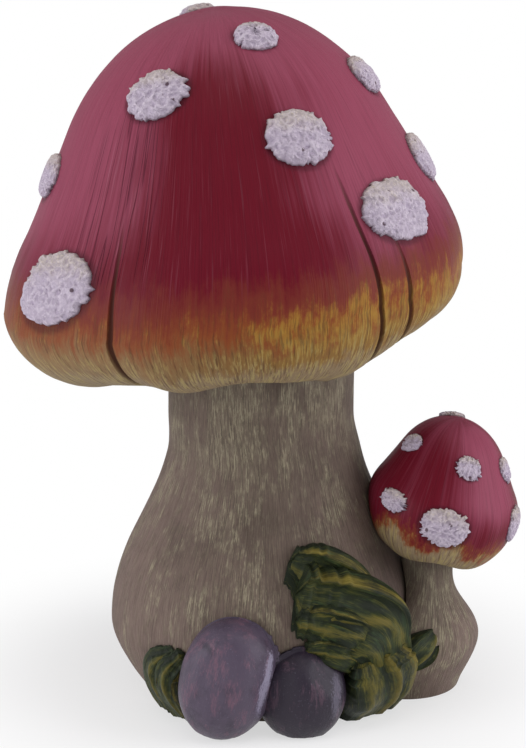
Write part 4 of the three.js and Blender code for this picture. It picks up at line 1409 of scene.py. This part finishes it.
class MakeLargeCap(bpy.types.Operator):
    """Makes the large cap with its lobed rim, splits and gills"""

    bl_idname = "toadstool.large_cap"
    bl_label = "Large cap"

    def execute(self, context):
        s, r = sizes("large"), sizes("relief")
        form, matrix = CapForm(s, WAVES), cap_matrix(s)
        rings, marks, place, bearing = cap_skin(form, SPLITS, WARTS, GRIDS["large_cap"])
        # The rim's bands lie a little higher at both sides.
        right, left = smoothstep(bearing, 10, 60), smoothstep(-bearing, 10, 40)
        marks["band"] = place + 0.012 * right + 0.01 * left
        # The painted sheen leaves deep red patches in front and at the back.
        deep = bell(wrapped(bearing + 1), 24)
        deep += 0.8 * bell(wrapped(bearing - 150), 30)
        deep += 0.8 * bell(wrapped(bearing + 140), 26)
        deep *= smoothstep(place, 0.13, 0.4)
        low = smoothstep(place, 0.5, 0.72)
        marks["bloom"] = np.clip(0.95 - 1.1 * deep - 0.45 * low, 0, 1)
        scored = bell(wrapped(bearing + 33), 11) * smoothstep(place, 0.3, 0.42)
        marks["scored"] = scored * (1 - smoothstep(place, 0.6, 0.7))
        front_right = smoothstep(bearing, -5, 15) * (1 - smoothstep(bearing, 70, 110))
        marks["golden"] = 0.16 * front_right - 0.1
        marks["faded"] = 0.45 * smoothstep(-bearing, -5, 30) + 0.3 * smoothstep(bearing, 50, 80)
        marks["frayed"] = 0.12
        dent = (r.dent_size, r.dent_depth)
        cast("main_cap", "cap_red", moved(rings, matrix), marks, CAP_RIDGE, dent, SEED)
        gills_of("main_cap", form, matrix)
        return {"FINISHED"}


class MakeSmallCap(bpy.types.Operator):
    """Makes the small cap and its gills, fitted against the large stalk"""

    bl_idname = "toadstool.small_cap"
    bl_label = "Small cap"

    def execute(self, context):
        s, big, r = sizes("small"), sizes("large"), sizes("relief")
        form, matrix = CapForm(s), small_cap_matrix(s, big)
        rings, marks, place, bearing = cap_skin(form, [], SMALL_WARTS, GRIDS["small_cap"])
        # The rim's bands start lower here, but climb at the front and at the front left.
        front, left = bell(wrapped(bearing), 15), bell(wrapped(bearing + 45), 16)
        marks["band"] = place - 0.075 + 0.09 * left + 0.07 * front
        # Painted sheen on the right and over the top.
        bloom = bell(wrapped(bearing - 40), 28) * smoothstep(place, 0.05, 0.2)
        top = 0.5 * (1 - smoothstep(place, 0.1, 0.4))
        marks["bloom"] = 0.9 * bloom * (1 - smoothstep(place, 0.5, 0.75)) + 0.3 + 0.7 * top
        marks.update({"frayed": 1.0, "scored": 0.0, "golden": -0.06, "faded": 1.0})
        rings = clear_of(moved(rings, matrix), StalkForm(big), r.bond_gap)
        dent = (r.dent_size, 0.6 * r.dent_depth)
        cast("small_cap", "cap_red", rings, marks, SMALL_CAP_RIDGE, dent, SEED)
        gills_of("small_cap", form, matrix)
        return {"FINISHED"}


class MakeWarts(bpy.types.Operator):
    """Makes the stippled warts on both caps"""

    bl_idname = "toadstool.warts"
    bl_label = "Warts"

    def execute(self, context):
        big, s, r = sizes("large"), sizes("small"), sizes("relief")
        thickness = r.wart_thickness
        form, matrix = CapForm(big, WAVES), cap_matrix(big)
        warts_of("main_cap", "cap", form, matrix, WARTS, thickness, 1.0, 0.13)
        thickness = r.small_wart_thickness
        form, matrix = CapForm(s), small_cap_matrix(s, big)
        warts_of("small_cap", "small_cap", form, matrix, SMALL_WARTS, thickness, 0.8, 0.22)
        return {"FINISHED"}


class MakePebbles(bpy.types.Operator):
    """Makes the two pebbles at the front"""

    bl_idname = "toadstool.pebbles"
    bl_label = "Pebbles"

    def execute(self, context):
        form, gap = StalkForm(sizes("large")), sizes("relief").bond_gap
        for name, (row, facets) in PEBBLES.items():
            rings, marks = stone_skin(form, row, facets)
            rings = bedded(rings, form, gap)
            cast(name, "pebble_purple", rings, marks, PEBBLE_RIDGE, PEBBLE_DENT, row[5])
        return {"FINISHED"}


class MakeLeaves(bpy.types.Operator):
    """Makes the clump of leaves between the stalks and the tuft on the left"""

    bl_idname = "toadstool.leaves"
    bl_label = "Leaves"

    def execute(self, context):
        form, gap = StalkForm(sizes("large")), sizes("relief").bond_gap
        for seed, (name, row) in enumerate(LEAVES.items()):
            rings, marks = leaf_skin(form, row, name == FAN_LEAF)
            rings = bedded(rings, form, gap)
            cast(name, "leaf_green", rings, marks, LEAF_RIDGE, LEAF_DENT, seed)
        return {"FINISHED"}


class FinishBase(bpy.types.Operator):
    """Gives the base plate its bare resin"""

    bl_idname = "toadstool.base"
    bl_label = "Base plate"

    def execute(self, context):
        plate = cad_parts["base_plate"]
        plate.data.materials.clear()
        plate.data.materials.append(finish_of("base_resin"))
        return {"FINISHED"}


class SetStage(bpy.types.Operator):
    """Sets the floor, the soft studio light, the white surroundings and the camera"""

    bl_idname = "toadstool.stage"
    bl_label = "Stage"

    def execute(self, context):
        settings = settings_of("stage")
        make_floor(settings)
        make_world(settings)
        make_lamps(settings)
        make_camera(context)
        context.scene.view_settings.view_transform = "Standard"
        return {"FINISHED"}


def ray(g, name):
    """1 for the rays of one kind."""
    return g.node("ShaderNodeLightPath", {}, {}, f"Is {name} Ray")


def make_floor(settings):
    """A wide pale floor that fades to plain white away from the figurine."""
    spokes = circle(96)
    radii = (150, 400, 1200, 4000)
    vertices = [(0, 0, 0)] + [(r * math.cos(a), r * math.sin(a), 0) for r in radii for a in spokes]
    floor = linked("floor", vertices, fan(len(radii), len(spokes)))
    p = Paint("floor_white")
    away = p.spot().vector("LENGTH", out="Value")
    matt = p.node("ShaderNodeBsdfDiffuse", {}, {"Color": settings.floor[:]}, "BSDF")
    white = p.node("ShaderNodeEmission", {}, {"Color": (1, 1, 1), "Strength": 1.0})
    # Rays that the camera sees, mirrored and refracted ones too, should meet a white background.
    seen = (ray(p, "Camera") + ray(p, "Glossy") + ray(p, "Transmission")).between(0.0, 0.5)
    share = (0.6 + away.between(0.06, 0.15) * 0.4) * seen
    mixed = p.node("ShaderNodeMixShader", {}, {0: share, 1: matt, 2: white})
    p.node("ShaderNodeOutputMaterial", {}, {"Surface": mixed})
    floor.data.materials.append(p.material)


def make_world(settings):
    """Light from all round, which the camera sees as plain white."""
    world = bpy.data.worlds.new("studio")
    bpy.context.scene.world = world
    world.use_nodes = True
    world.node_tree.nodes.clear()
    g = Graph(world.node_tree)
    background = "ShaderNodeBackground"
    light = g.node(background, {}, {"Color": (0.98, 0.97, 1.0), "Strength": settings.ambient})
    white = g.node(background, {}, {"Color": (1, 1, 1), "Strength": 1.0})
    mixed = g.node("ShaderNodeMixShader", {}, {0: ray(g, "Camera"), 1: light, 2: white})
    g.node("ShaderNodeOutputWorld", {}, {"Surface": mixed})


def make_lamps(settings):
    """A wide lamp overhead in front, and one at each side."""
    aim = Vector((0, 0, 0.12))
    # Each lamp's place, width, power and colour.
    lamps = {
        "overhead": ((0.05, -0.2, 1.0), 0.8, settings.key, (1.0, 0.98, 0.95)),
        "left": ((-0.85, -0.35, 0.35), 0.7, settings.side, (0.97, 0.96, 1.0)),
        "right": ((0.85, -0.25, 0.4), 0.7, settings.side, (0.97, 0.96, 1.0)),
    }
    for name, (place, size, power, tone) in lamps.items():
        light = bpy.data.lights.new(name, "AREA")
        light.shape = "DISK"
        light.size = size
        light.energy = power
        light.color = tone
        lamp = bpy.data.objects.new(name, light)
        lamp.location = place
        lamp.rotation_euler = (aim - Vector(place)).to_track_quat("-Z", "Y").to_euler()
        bpy.context.collection.objects.link(lamp)


def make_camera(context):
    """The photograph's view: from the front, a little above, at 0.7 m."""
    distance, rise = 0.7, math.radians(14)
    target = Vector((-0.001, 0, 0.112))
    data = bpy.data.cameras.new("camera")
    data.sensor_fit = "VERTICAL"
    data.sensor_height = 36
    data.lens = FOCAL * data.sensor_height / PHOTO_HEIGHT
    data.clip_start = 0.01
    camera = bpy.data.objects.new("camera", data)
    camera.location = target + distance * Vector((0, -math.cos(rise), math.sin(rise)))
    camera.rotation_euler = (math.pi / 2 - rise, 0, 0)
    context.collection.objects.link(camera)
    context.scene.camera = camera


class ToadstoolPanel(bpy.types.Panel):
    """Lists the operators and the settings"""

    bl_idname = "VIEW3D_PT_toadstool"
    bl_label = "Toadstool figurine"
    bl_space_type = "VIEW_3D"
    bl_region_type = "UI"
    bl_category = "Toadstool"

    def draw(self, context):
        for operator in OPERATORS:
            self.layout.operator(operator.bl_idname)
        for key in GROUPS:
            group = getattr(context.scene, key)
            box = self.layout.box()
            box.label(text=group.bl_rna.name)
            for name in group.bl_rna.properties.keys():
                if name not in ("rna_type", "name"):
                    box.prop(group, name)


GROUPS = {
    "toadstool_large": LargeToadstool,
    "toadstool_small": SmallToadstool,
    "toadstool_relief": ReliefSizes,
    "toadstool_colours": PaintColours,
    "toadstool_stage": StageSettings,
}
OPERATORS = [
    MakeLargeStalk,
    MakeSmallStalk,
    MakeLargeCap,
    MakeSmallCap,
    MakeWarts,
    MakePebbles,
    MakeLeaves,
    FinishBase,
    SetStage,
]


def register():
    for group in GROUPS.values():
        bpy.utils.register_class(group)
    for key, group in GROUPS.items():
        setattr(bpy.types.Scene, key, bpy.props.PointerProperty(type=group))
    for operator in (*OPERATORS, ToadstoolPanel):
        bpy.utils.register_class(operator)


def unregister():
    for operator in (ToadstoolPanel, *reversed(OPERATORS)):
        bpy.utils.unregister_class(operator)
    for key in GROUPS:
        delattr(bpy.types.Scene, key)
    for group in reversed(GROUPS.values()):
        bpy.utils.unregister_class(group)


def main():
    register()
    bpy.ops.toadstool.large_stalk()
    bpy.ops.toadstool.small_stalk()
    bpy.ops.toadstool.large_cap()
    bpy.ops.toadstool.small_cap()
    bpy.ops.toadstool.warts()
    bpy.ops.toadstool.pebbles()
    bpy.ops.toadstool.leaves()
    bpy.ops.toadstool.base()
    bpy.ops.toadstool.stage()


if __name__ == "__main__":
    main()
